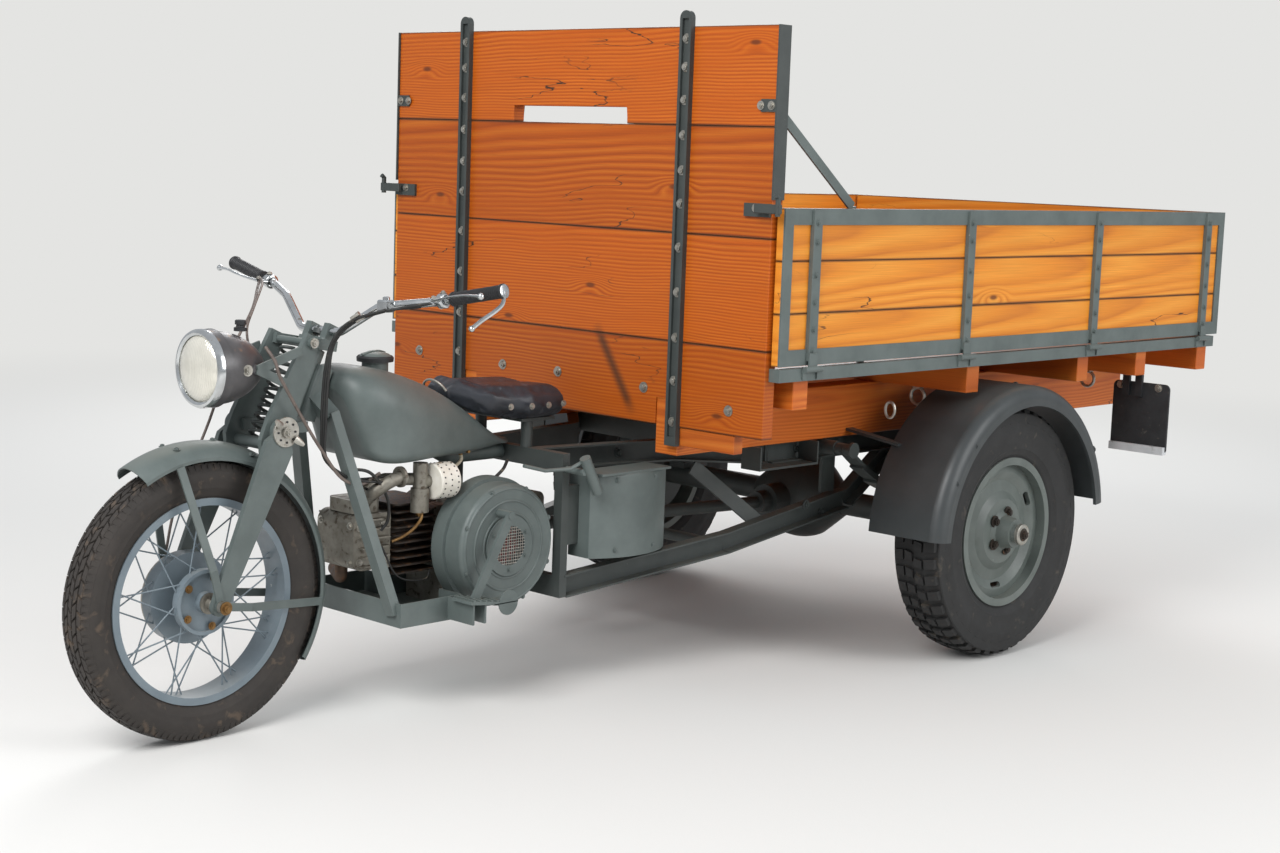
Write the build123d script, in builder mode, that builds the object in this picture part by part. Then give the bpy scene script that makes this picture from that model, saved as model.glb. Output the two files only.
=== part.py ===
from build123d import *
from math import atan2, cos, degrees, hypot, radians, sin, sqrt
import os

# Three-wheeled cargo motorcycle. Millimetres, front is -Y, the rider's left is +X, +Z is up.
# The origin is on the ground, under the middle of the overall length and width.

# Wheels and overall length
WHEELBASE = 2305
FRONT_TYRE_R = 342
REAR_TYRE_R = 375
BED_OVERHANG = 1205
REAR_AXLE_Y = (WHEELBASE + FRONT_TYRE_R - BED_OVERHANG) / 2
FRONT_AXLE_Y = REAR_AXLE_Y - WHEELBASE
BED_END_Y = REAR_AXLE_Y + BED_OVERHANG
REAR_TRACK_X = 710
MOVING_GAP = 6
SEAT_GAP = 0.3

# Front wheel: 19 inch wire wheel
FRONT_TYRE_HALF = 50
FRONT_RIM_R = 252
FRONT_RIM_HALF = 39
FRONT_WELL_R = 238
RIM_LIP = 4
HUB_LEFT_R = 80
HUB_LEFT_X = 44
HUB_DRUM_R = 112
HUB_DRUM_X = 58
HUB_BARREL_R = 40
SPOKES_A_SIDE = 18
SPOKE_R = 1.9
SPOKE_LEAD = 32
AXLE_R = 10

# Rear wheels: 16 inch pressed steel
REAR_TYRE_HALF = 85
REAR_RIM_R = 222
REAR_RIM_HALF = 70
REAR_WELL_R = 205
RIM_WALL = 5
DISC_X = 24
DRUM_R = 150
DRUM_DEPTH = 74
DISC_BACK_X = REAR_TRACK_X + DISC_X - 14
HUB_END_X = 836
SHAFT_R = 20
SHAFT_END_X = DISC_BACK_X + 60

# Steering head and girder fork, given in the head's own frame: z up the steering axis, y back from it
HEAD_Y = -1229
HEAD_Z = 957
RAKE = 24
STEM_R = 15
HEAD_TUBE_R = 27
HEAD_TUBE_LOW = -200
HEAD_TUBE_HIGH = -26
GUSSET_HIGH = -62
FORK_BACK = -72
FORK_KNEE_Z = -300
FORK_TOP_Z = -14
FORK_LOW_X = 104
FORK_TOP_X = 80
BLADE_WALL = 14
YOKE_T = 20
LINK_LOW_Z = -222

# Bed and its boards
BED_HALF = 738
HEADBOARD_Y = -373
HEADBOARD_T = 40
HEADBOARD_LOW = 726
HEADBOARD_HIGH = 1777
FLOOR_Z = 901
FLOOR_T = 24
BEARER_LOW = 800
BEAM_LOW = 648
BEAM_X = 400
BEAM_W = 80
SILL_HIGH = 911
SILL_X = BED_HALF + 34
GATE_LOW = SILL_HIGH + MOVING_GAP
GATE_HIGH = 1321
GATE_IN = BED_HALF + 5
GATE_BOARD_T = 22
GATE_IRON_T = 5
STRAP_T = 7
GATE_FRONT_Y = -357
HINGE_R = 8
GATE_PLANKS = 3

# Chassis
RAIL_H = 62
RAIL_W = 34
RAIL_WALL = 5
CRADLE_X = 200
CRADLE_FRONT_Y = -1110
CRADLE_LOW = 238
CRADLE_H = 62
CRADLE_REAR_Y = -606
SPRING_X = 500

os.makedirs("parts", exist_ok=True)


def save(piece, name):
    piece.part.label = name
    export_step(piece.part, f"parts/{name}.step")


def run_plane(start, end, across):
    """The plane at start that faces end, with its x as near as can be to across."""
    first = Vector(*start)
    facing = (Vector(*end) - first).normalized()
    side = Vector(*across)
    side = (side - facing * side.dot(facing)).normalized()
    return Plane(origin=first, x_dir=side, z_dir=facing)


def bar(start, end, wide, deep, across=(1, 0, 0), mode=Mode.ADD):
    """A rectangular bar from start to end, wide along across."""
    with BuildSketch(run_plane(start, end, across)) as section:
        Rectangle(wide, deep)
    extrude(section.sketch, amount=(Vector(*end) - Vector(*start)).length, mode=mode)


def rod(start, end, radius, inner=0):
    """A round bar, or a tube where inner is given."""
    across = (0, 0, 1) if abs(start[0] - end[0]) > abs(start[2] - end[2]) else (1, 0, 0)
    with BuildSketch(run_plane(start, end, across)) as section:
        Circle(radius)
        if inner:
            Circle(inner, mode=Mode.SUBTRACT)
    extrude(section.sketch, amount=(Vector(*end) - Vector(*start)).length)


def block(low, high, mode=Mode.ADD):
    """A box between two corners."""
    centre = [(a + b) / 2 for a, b in zip(low, high)]
    with Locations(tuple(centre)):
        Box(*(abs(b - a) for a, b in zip(low, high)), mode=mode)


def disc(x0, x1, y, z, radius, inner=0, mode=Mode.ADD):
    """A round piece whose axis runs across the vehicle, from x0 to x1."""
    with BuildSketch(Plane(origin=(x0, y, z), x_dir=(0, 1, 0), z_dir=(1, 0, 0))) as section:
        Circle(radius)
        if inner:
            Circle(inner, mode=Mode.SUBTRACT)
    extrude(section.sketch, amount=x1 - x0, mode=mode)


def wheel_plane(x, y, z):
    """Sketch plane of a wheel's section: x across the vehicle, y out from the axle."""
    return Plane(origin=(x, y, z), x_dir=(1, 0, 0), z_dir=(0, -1, 0))


def tyre_section(half, bead_half, bead_r, lip_r, outer_r):
    """Tyre section: bead between the rim's lips, bulged side wall, shoulder and crown."""
    shoulder_half = 0.78 * half
    shoulder_r = outer_r - 0.1 * half
    side_r = (outer_r + lip_r) / 2
    with BuildLine() as outline:
        Polyline((-bead_half, lip_r), (-bead_half, bead_r), (bead_half, bead_r), (bead_half, lip_r))
        ThreePointArc((bead_half, lip_r), (half, side_r), (shoulder_half, shoulder_r))
        ThreePointArc((shoulder_half, shoulder_r), (0, outer_r), (-shoulder_half, shoulder_r))
        ThreePointArc((-shoulder_half, shoulder_r), (-half, side_r), (-bead_half, lip_r))
    make_face(outline.line)


def rim_section(half, flange_r, well_r, wall):
    """Rim section: a shallow channel with an upright lip on each side."""
    with BuildLine() as outline:
        Polyline(
            (-half, flange_r), (-half, well_r - wall), (half, well_r - wall), (half, flange_r),
            (half - wall, flange_r), (half - wall, well_r), (wall - half, well_r),
            (wall - half, flange_r), close=True,
        )
    make_face(outline.line)


HEAD = Plane(
    origin=(0, HEAD_Y, HEAD_Z), x_dir=(1, 0, 0),
    z_dir=(0, sin(radians(RAKE)), cos(radians(RAKE))),
)


def head(x, y, z):
    """World place of a point given in the steering head's frame."""
    point = HEAD.from_local_coords(Vector(x, y, z))
    return (point.X, point.Y, point.Z)


axle_local = HEAD.to_local_coords(Vector(0, FRONT_AXLE_Y, FRONT_TYRE_R))
FORK_AXLE_BACK = axle_local.Y
FORK_AXLE_Z = axle_local.Z

# Front wheel: tyre
front_axis = Axis((0, FRONT_AXLE_Y, FRONT_TYRE_R), (1, 0, 0))
with BuildPart() as front_tyre:
    with BuildSketch(wheel_plane(0, FRONT_AXLE_Y, FRONT_TYRE_R)) as section:
        tyre_section(FRONT_TYRE_HALF, FRONT_RIM_HALF - RIM_LIP, FRONT_WELL_R, FRONT_RIM_R + 2, FRONT_TYRE_R)
    revolve(axis=front_axis)
save(front_tyre, "front_tyre")

# Front wheel: rim, crossed spokes and hub with its brake drum on the right
with BuildPart() as front_wheel:
    with BuildSketch(wheel_plane(0, FRONT_AXLE_Y, FRONT_TYRE_R)):
        rim_section(FRONT_RIM_HALF, FRONT_RIM_R, FRONT_WELL_R, RIM_LIP)
    revolve(axis=front_axis)
    hub = (FRONT_AXLE_Y, FRONT_TYRE_R)
    disc(-HUB_DRUM_X, HUB_LEFT_X - 8, *hub, HUB_BARREL_R)
    disc(HUB_LEFT_X - 22, HUB_LEFT_X, *hub, HUB_LEFT_R)
    disc(HUB_LEFT_X - 8, HUB_LEFT_X, *hub, HUB_LEFT_R - 9, mode=Mode.SUBTRACT)
    disc(HUB_LEFT_X - 8, HUB_LEFT_X + 10, *hub, 26)
    disc(-HUB_DRUM_X, -HUB_DRUM_X + 38, *hub, HUB_DRUM_R)
    disc(-HUB_DRUM_X, -HUB_DRUM_X + 26, *hub, HUB_DRUM_R - 9, HUB_BARREL_R, mode=Mode.SUBTRACT)
    for side, flange_x, flange_r in ((1, HUB_LEFT_X - 15, HUB_LEFT_R - 4), (-1, 26 - HUB_DRUM_X, HUB_DRUM_R - 4)):
        for number in range(SPOKES_A_SIDE):
            turn = 360 / SPOKES_A_SIDE * number + 90 * (1 - side) / SPOKES_A_SIDE
            lead = SPOKE_LEAD if number % 2 else -SPOKE_LEAD
            a, b = radians(turn), radians(turn + lead)
            hub_end = (flange_x, hub[0] + flange_r * cos(a), hub[1] + flange_r * sin(a))
            rim_r = FRONT_WELL_R - RIM_LIP / 2
            rim_end = (8 * side, hub[0] + rim_r * cos(b), hub[1] + rim_r * sin(b))
            rod(hub_end, rim_end, SPOKE_R)
    disc(-HUB_DRUM_X - 1, HUB_LEFT_X + 11, *hub, AXLE_R + SEAT_GAP, mode=Mode.SUBTRACT)
save(front_wheel, "front_wheel_laced")

# Rear wheels: tyre, and rim with its dished disc, hub and drum
for side, word in ((1, "left"), (-1, "right")):
    centre = (side * REAR_TRACK_X, REAR_AXLE_Y, REAR_TYRE_R)
    rear_axis = Axis(centre, (1, 0, 0))
    with BuildPart() as rear_tyre:
        with BuildSketch(wheel_plane(*centre)):
            tyre_section(REAR_TYRE_HALF, REAR_RIM_HALF - RIM_WALL, REAR_WELL_R, REAR_RIM_R + 2, REAR_TYRE_R)
        revolve(axis=rear_axis)
    save(rear_tyre, f"rear_tyre_{word}")

    with BuildPart() as rear_wheel:
        with BuildSketch(wheel_plane(*centre)):
            rim_section(REAR_RIM_HALF, REAR_RIM_R, REAR_WELL_R, RIM_WALL)
            # Dished disc, hub nose and brake drum, as one section from the axle outwards
            nose = HUB_END_X - REAR_TRACK_X
            with BuildLine() as dish:
                Polyline(
                    (side * nose, 0), (side * nose, 24), (side * (nose - 26), 27),
                    (side * (nose - 26), 42), (side * 62, 50), (side * 52, 62), (side * 50, 96),
                    (side * (DISC_X + 12), 118), (side * (DISC_X + 6), 150), (side * (DISC_X + 20), 176),
                    (side * (DISC_X + 16), REAR_WELL_R - RIM_WALL),
                    (side * (DISC_X + 4), REAR_WELL_R - RIM_WALL),
                    (side * (DISC_X + 8), 178), (side * (DISC_X - 4), DRUM_R),
                    (side * (DISC_X - DRUM_DEPTH), DRUM_R), (side * (DISC_X - DRUM_DEPTH), DRUM_R - 10),
                    (side * (DISC_X - 14), DRUM_R - 10), (side * (DISC_X - 14), 0), close=True,
                )
            make_face(dish.line)
        revolve(axis=rear_axis)
        # Oval hand holes near the rim, and the wheel studs' boss holes
        with BuildSketch(Plane(origin=centre, x_dir=(0, 1, 0), z_dir=(1, 0, 0))) as slots:
            with PolarLocations(164, 3, start_angle=30):
                SlotCenterToCenter(34, 15, rotation=90)
        extrude(slots.sketch, amount=side * 60, mode=Mode.SUBTRACT)
        disc(side * (DISC_BACK_X - 1), side * (SHAFT_END_X + SEAT_GAP), REAR_AXLE_Y, REAR_TYRE_R, SHAFT_R + SEAT_GAP,
             mode=Mode.SUBTRACT)
    save(rear_wheel, f"rear_wheel_{word}_disc")

# Rear axle: tubes, differential housing, brake back plates and the driven shafts
with BuildPart() as rear_axle:
    drum_face = REAR_TRACK_X + DISC_X - DRUM_DEPTH
    rod((-drum_face + 9, REAR_AXLE_Y, REAR_TYRE_R), (drum_face - 9, REAR_AXLE_Y, REAR_TYRE_R), 38)
    with BuildSketch(Plane(origin=(0, REAR_AXLE_Y, REAR_TYRE_R), x_dir=(1, 0, 0), z_dir=(0, -1, 0))):
        with BuildLine() as bulge:
            Polyline((-170, 0), (-170, 44), (-70, 118))
            ThreePointArc((-70, 118), (0, 132), (70, 118))
            Polyline((70, 118), (170, 44), (170, 0), (-170, 0))
        make_face(bulge.line)
    revolve(axis=Axis((0, REAR_AXLE_Y, REAR_TYRE_R), (1, 0, 0)))
    rod((0, REAR_AXLE_Y - 190, REAR_TYRE_R), (0, REAR_AXLE_Y, REAR_TYRE_R), 52)
    for side in (1, -1):
        disc(side * (drum_face - 9), side * (drum_face - 1.5), REAR_AXLE_Y, REAR_TYRE_R, DRUM_R - 1)
        disc(side * (drum_face - 9), side * SHAFT_END_X, REAR_AXLE_Y, REAR_TYRE_R, SHAFT_R)
        block((side * SPRING_X - 32, REAR_AXLE_Y - 60, REAR_TYRE_R + 30),
              (side * SPRING_X + 32, REAR_AXLE_Y + 60, REAR_TYRE_R + 50))
save(rear_axle, "rear_axle")

def radial_plane(centre, lean):
    """Wheel section plane turned forward from the top by lean degrees."""
    turn = radians(lean)
    return Plane(origin=centre, x_dir=(1, 0, 0), z_dir=(0, -cos(turn), -sin(turn)))


def channel(start, end, outward):
    """A U channel rail from start to end, its open side facing outward along X."""
    with BuildSketch(run_plane(start, end, (outward, 0, 0))) as section:
        Rectangle(RAIL_W, RAIL_H)
        with Locations((RAIL_WALL, 0)):
            Rectangle(RAIL_W, RAIL_H - 2 * RAIL_WALL, mode=Mode.SUBTRACT)
    extrude(section.sketch, amount=(Vector(*end) - Vector(*start)).length)


def ring_sector(inner, outer, turn):
    """A curved strip about the sketch's origin, turn degrees each side of straight down."""
    with BuildLine() as strip:
        top = CenterArc((0, 0), inner, 270 - turn, 2 * turn)
        low = CenterArc((0, 0), outer, 270 - turn, 2 * turn)
        Line(top @ 0, low @ 0)
        Line(top @ 1, low @ 1)
    make_face(strip.line)


# Leaf springs: five leaves a side, the main leaf on top with an eye at each end
LEAF_T = 8
LEAVES = 5
LEAF_W = 50
SPRING_HALF = 440
EYE_Z = 622
EYE_R = 17
PIN_R = 9
seat_z = REAR_TYRE_R + 50
main_z = seat_z + (LEAVES - 0.5) * LEAF_T
sag = EYE_Z - main_z
spring_r = (SPRING_HALF**2 + sag**2) / (2 * sag)
main_turn = degrees(atan2(SPRING_HALF, spring_r - sag))
with BuildPart() as leaf_springs:
    for side in (1, -1):
        with BuildSketch(Plane(origin=(side * SPRING_X - LEAF_W / 2, REAR_AXLE_Y, main_z + spring_r),
                               x_dir=(0, 1, 0), z_dir=(1, 0, 0))) as leaves:
            for number in range(LEAVES):
                turn = main_turn * (1 - 0.17 * number)
                ring_sector(spring_r + (number - 0.5) * LEAF_T, spring_r + (number + 0.5) * LEAF_T, turn)
            for end in (1, -1):
                with Locations((end * SPRING_HALF, EYE_Z - main_z - spring_r)):
                    Circle(EYE_R)
            for end in (1, -1):
                with Locations((end * SPRING_HALF, EYE_Z - main_z - spring_r)):
                    Circle(PIN_R, mode=Mode.SUBTRACT)
        extrude(leaves.sketch, amount=LEAF_W)
        block((side * SPRING_X - 32, REAR_AXLE_Y - 55, seat_z + LEAVES * LEAF_T),
              (side * SPRING_X + 32, REAR_AXLE_Y + 55, seat_z + LEAVES * LEAF_T + 12))
save(leaf_springs, "leaf_springs")

# Chassis: splayed lower rails, and upper rails under the bed
COLUMN_X = 235
UPPER_Z = 617
BOX_FRONT_Y = -540
POST_T = 26
RAIL_X = 400
RAIL_IN_X = RAIL_X - RAIL_W / 2
LOWER_RAIL = [(COLUMN_X, CRADLE_REAR_Y + POST_T, 287), (330, -32, 358), (RAIL_X, 421, 453), (RAIL_X, 640, 600)]
UPPER_RAIL = [(120, CRADLE_REAR_Y + POST_T, UPPER_Z), (200, -127, UPPER_Z), (RAIL_X, 60, UPPER_Z),
              (RAIL_X, 1500, UPPER_Z)]
with BuildPart() as lower_rails:
    for side in (1, -1):
        for (xa, ya, za), (xb, yb, zb) in zip(LOWER_RAIL, LOWER_RAIL[1:]):
            channel((side * xa, ya, za), (side * xb, yb, zb), side)
    for side in (1, -1):
        # The lower rail ends under the upper one
        block((side * 300, 360, UPPER_Z - RAIL_H / 2), (side * 500, 800, UPPER_Z + RAIL_H), mode=Mode.SUBTRACT)
save(lower_rails, "lower_rails")

with BuildPart() as upper_rails:
    for side in (1, -1):
        for (xa, ya, za), (xb, yb, zb) in zip(UPPER_RAIL, UPPER_RAIL[1:]):
            channel((side * xa, ya, za), (side * xb, yb, zb), side)
save(upper_rails, "upper_rails")

# Cross members, columns, braces, and the hangers of the leaf springs
OUTRIGGER_X = 470
OUTRIGGER_YS = (-57, 200)
OUTRIGGER_LOW = BEAM_LOW - 66
PLATE_T = 6
with BuildPart() as main_frame:
    for side in (1, -1):
        # Upright column, diagonal brace and strut between the rails
        block((side * COLUMN_X - 15, CRADLE_REAR_Y, 258), (side * COLUMN_X + 15, CRADLE_REAR_Y + POST_T, BEAM_LOW))
        bar((side * 256, -100, 573), (side * 333.2, 116, 395), 8, 44)
        bar((side * 385, 350, 477), (side * 385, 350, UPPER_Z - RAIL_H / 2), 10, 60)
        # Plate from the column to the box beside the saddle
        block((side * (COLUMN_X - 13), CRADLE_REAR_Y + POST_T, 400), (side * (COLUMN_X + 13), BOX_FRONT_Y, 560))
        # Outrigger channel, open outwards
        block((side * RAIL_X, OUTRIGGER_YS[0], OUTRIGGER_LOW),
              (side * OUTRIGGER_X, OUTRIGGER_YS[1], OUTRIGGER_LOW + PLATE_T))
        for start, way in zip(OUTRIGGER_YS, (1, -1)):
            block((side * RAIL_X, start, OUTRIGGER_LOW), (side * OUTRIGGER_X, start + way * PLATE_T, BEAM_LOW))
        # The two hangers of each leaf spring
        for end in (1, -1):
            eye = REAR_AXLE_Y + end * SPRING_HALF
            web = side * (RAIL_IN_X + RAIL_WALL)
            rod((web, eye, EYE_Z), (side * (SPRING_X + 34), eye, EYE_Z), PIN_R - SEAT_GAP)
            rod((web, eye, EYE_Z), (side * (SPRING_X - LEAF_W / 2 - 1), eye, EYE_Z), EYE_R + 4)
            disc(side * (SPRING_X + LEAF_W / 2 + 1), side * (SPRING_X + 36), eye, EYE_Z, EYE_R + 6)
    # Cross members
    block((-COLUMN_X, CRADLE_REAR_Y, 258), (COLUMN_X, CRADLE_REAR_Y + POST_T, 316))
    block((-COLUMN_X, CRADLE_REAR_Y, 601), (COLUMN_X, CRADLE_REAR_Y + POST_T, BEAM_LOW))
    rod((-313, -40, 350), (313, -40, 350), 16)
    for place in (72, 900, 1460):
        block((-RAIL_IN_X, place, UPPER_Z - 28), (RAIL_IN_X, place + 40, UPPER_Z + 28))
    add(lower_rails.part, mode=Mode.SUBTRACT)
    add(upper_rails.part, mode=Mode.SUBTRACT)
save(main_frame, "chassis_frame")

# Front frame: steering head, backbone, pressed down tubes and the cradle under the engine
BACKBONE_Z = 626
BACKBONE_R = 20
TUNNEL_FROM = head(0, 40, -105)
TUNNEL_TO = (0, -800, BACKBONE_Z)
DOWN_TOP = (72, -1240, 770)
DOWN_LOW = (168, -1106, CRADLE_LOW + CRADLE_H / 2)
INNER_X = 118
STEP_Y = -905
with BuildPart() as front_frame:
    with BuildSketch(HEAD.offset(HEAD_TUBE_LOW)) as section:
        Circle(HEAD_TUBE_R)
    extrude(section.sketch, amount=HEAD_TUBE_HIGH - HEAD_TUBE_LOW)
    with BuildSketch(HEAD.offset(HEAD_TUBE_LOW)) as gusset:
        with Locations((0, 28)):
            RectangleRounded(84, 44, 8)
    extrude(gusset.sketch, amount=GUSSET_HIGH - HEAD_TUBE_LOW)
    with BuildSketch(HEAD.offset(HEAD_TUBE_LOW - 1)) as bore:
        Circle(STEM_R + SEAT_GAP)
    extrude(bore.sketch, amount=HEAD_TUBE_HIGH - HEAD_TUBE_LOW + 2, mode=Mode.SUBTRACT)
    rod(TUNNEL_FROM, TUNNEL_TO, BACKBONE_R)
    rod(TUNNEL_TO, (0, CRADLE_REAR_Y, BACKBONE_Z), BACKBONE_R)
    with Locations(TUNNEL_TO):
        Sphere(BACKBONE_R)
    for side in (1, -1):
        bar(head(side * 26, 26, -140), (side * DOWN_TOP[0], DOWN_TOP[1], DOWN_TOP[2]), 34, 40)
        bar((side * DOWN_TOP[0], DOWN_TOP[1], DOWN_TOP[2] + 12),
            (side * DOWN_LOW[0], DOWN_LOW[1], DOWN_LOW[2]), 34, 26)
        block((side * (CRADLE_X - RAIL_WALL), CRADLE_FRONT_Y, CRADLE_LOW),
              (side * CRADLE_X, STEP_Y, CRADLE_LOW + CRADLE_H))
        block((side * (INNER_X - RAIL_WALL), STEP_Y - 6, CRADLE_LOW),
              (side * INNER_X, CRADLE_REAR_Y, CRADLE_LOW + CRADLE_H))
        block((side * INNER_X, STEP_Y - RAIL_WALL, CRADLE_LOW), (side * CRADLE_X, STEP_Y, CRADLE_LOW + CRADLE_H))
    block((-CRADLE_X, CRADLE_FRONT_Y, CRADLE_LOW), (CRADLE_X, CRADLE_FRONT_Y + RAIL_WALL, CRADLE_LOW + CRADLE_H))
    block((-CRADLE_X, CRADLE_FRONT_Y, CRADLE_LOW), (CRADLE_X, STEP_Y, CRADLE_LOW + 4))
    block((-INNER_X, STEP_Y - 6, CRADLE_LOW), (INNER_X, CRADLE_REAR_Y, CRADLE_LOW + 4))
save(front_frame, "front_frame")

# Engine: crankcase with gearbox, level cylinder with its long fins, head
CRANK_Y = -776
CRANK_Z = 418
CRANK_R = 118
CASE_X = 108
CYL_Z = 440
FIN_HALF_X = 90
FINS = 10
FIN_PITCH = 20
FIN_T = 4
CYL_BACK = -896
CYL_FRONT = -1045
HEAD_FRONT = -1165
deck_z = CRADLE_LOW + 4
with BuildPart() as crankcase:
    disc(-CASE_X, CASE_X, CRANK_Y, CRANK_Z, CRANK_R)
    block((-92, CRANK_Y, 322), (92, -520, 520))
    fillet(crankcase.edges().filter_by(Axis.X), radius=22)
    block((-70, CYL_BACK, CYL_Z - 72), (70, CRANK_Y, CYL_Z + 72))
    disc(CASE_X, 122, CRANK_Y, CRANK_Z, 70)
    for place in (-860, -720):
        block((-80, place, deck_z), (80, place + 40, 340))
save(crankcase, "engine_crankcase")

with BuildPart() as cylinder:
    with BuildSketch(Plane(origin=(0, CYL_BACK, CYL_Z), x_dir=(1, 0, 0), z_dir=(0, -1, 0))) as section:
        Circle(58)
    extrude(section.sketch, amount=CYL_BACK - CYL_FRONT)
    fin_low = CYL_Z - (FINS - 1) * FIN_PITCH / 2
    for number in range(FINS):
        height = fin_low + number * FIN_PITCH
        with BuildSketch(Plane.XY.offset(height - FIN_T / 2)) as fin:
            with Locations((0, (CYL_BACK + CYL_FRONT) / 2)):
                RectangleRounded(2 * FIN_HALF_X, CYL_BACK - CYL_FRONT - 6, 14)
        extrude(fin.sketch, amount=FIN_T)
    block((-30, CYL_FRONT + 20, fin_low), (30, CYL_BACK - 20, fin_low + (FINS - 1) * FIN_PITCH))
save(cylinder, "engine_cylinder")

with BuildPart() as engine_head:
    block((-74, HEAD_FRONT, 368), (74, CYL_FRONT, 512))
    fillet(engine_head.edges().filter_by(Axis.X).group_by(Axis.Y)[0], radius=30)
    for number in range(6):
        height = 378 + number * FIN_PITCH * 1.2
        block((-92, HEAD_FRONT + 18, height), (92, CYL_FRONT - 14, height + FIN_T))
    with BuildSketch(Plane.XY.offset(512)) as cover:
        with Locations((0, (HEAD_FRONT + CYL_FRONT) / 2)):
            RectangleRounded(110, 92, 20)
    extrude(cover.sketch, amount=34)
save(engine_head, "engine_head")

# Cooling fan drum on the left of the crankcase, with its round inlet and wire grille
DRUM_BACK_X = 122
DRUM_STEP_X = 166
DRUM_FACE_X = 230
INLET_R = 52
INLET_RING_R = 80
with BuildPart() as fan_drum:
    disc(DRUM_BACK_X, DRUM_STEP_X, CRANK_Y, CRANK_Z, 172)
    disc(DRUM_STEP_X, DRUM_FACE_X, CRANK_Y, CRANK_Z, 162)
    fillet(fan_drum.edges().group_by(Axis.X)[-1], radius=16)
    disc(DRUM_FACE_X, DRUM_FACE_X + 5, CRANK_Y, CRANK_Z, INLET_RING_R)
    disc(DRUM_FACE_X - 36, DRUM_FACE_X + 5, CRANK_Y, CRANK_Z, INLET_R, mode=Mode.SUBTRACT)
    for number in range(-3, 4):
        offset = number * 14
        reach = sqrt((INLET_R + 1) ** 2 - offset**2)
        bar((DRUM_FACE_X, CRANK_Y - reach, CRANK_Z + offset), (DRUM_FACE_X, CRANK_Y + reach, CRANK_Z + offset), 2, 2)
        bar((DRUM_FACE_X - 1, CRANK_Y + offset, CRANK_Z - reach),
            (DRUM_FACE_X - 1, CRANK_Y + offset, CRANK_Z + reach), 2, 2)
save(fan_drum, "fan_drum")

# Carburettor with its bent inlet pipe, and the drum air filter behind it
CARB = (116, -985)
with BuildPart() as carburettor:
    with Locations((CARB[0], CARB[1], 543)):
        Cylinder(24, 62)
    with Locations((CARB[0], CARB[1], 607)):
        Cylinder(19, 66)
    with BuildLine() as pipe:
        FilletPolyline((CARB[0] - 10, CARB[1], 596), (62, -1060, 596), (40, -1105, 566), (40, -1105, 546), radius=12)
    with BuildSketch(Plane(origin=pipe.line @ 0, z_dir=pipe.line % 0)) as bore:
        Circle(16)
    sweep(bore.sketch, path=pipe.line)
    rod((CARB[0], CARB[1], 590), (CARB[0], -958, 590), 17)
save(carburettor, "carburettor")

FILTER_R = 47
with BuildPart() as air_filter:
    with BuildSketch(Plane(origin=(CARB[0] + 10, -958, 590), x_dir=(1, 0, 0), z_dir=(0, 1, 0))) as drum:
        Circle(FILTER_R)
    extrude(drum.sketch, amount=66)
    fillet(air_filter.edges(), radius=5)
save(air_filter, "air_filter")

# Exhaust: pipe from the head down the right side to a round silencer under the seat
with BuildPart() as exhaust:
    with BuildLine() as pipe:
        FilletPolyline(
            (-50, -1105, 368), (-50, -1105, 326), (-150, -1050, 330), (-160, -960, 366), (-170, -880, 366), radius=18,
        )
    with BuildSketch(Plane(origin=pipe.line @ 0, z_dir=pipe.line % 0)) as bore:
        Circle(17)
    sweep(bore.sketch, path=pipe.line)
    rod((-170, -882, 366), (-170, -560, 366), 44)
    rod((-170, -562, 366), (-170, -430, 360), 15)
save(exhaust, "exhaust")

# Left foot control: ribbed pad on a bracket, long flat arm and its pivot on the drum's face
PEDAL_X = 268
with BuildPart() as foot_pedal:
    bar((PEDAL_X, -968, 302), (PEDAL_X, -872, 290), 76, 8)
    for number in range(5):
        along = -960 + number * 20
        block((PEDAL_X - 38, along, 300 - number * 2.5), (PEDAL_X + 38, along + 6, 309 - number * 2.5))
    bar((PEDAL_X + 6, -930, 300), (PEDAL_X + 6, -812, 508), 8, 26)
    disc(DRUM_FACE_X, PEDAL_X + 12, -812, 508, 11)
    block((CRADLE_X, -955, CRADLE_LOW + 4), (PEDAL_X + 30, -949, 300))
    block((CRADLE_X, -915, CRADLE_LOW + 4), (PEDAL_X + 30, -909, 294))
save(foot_pedal, "foot_pedal")

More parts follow.
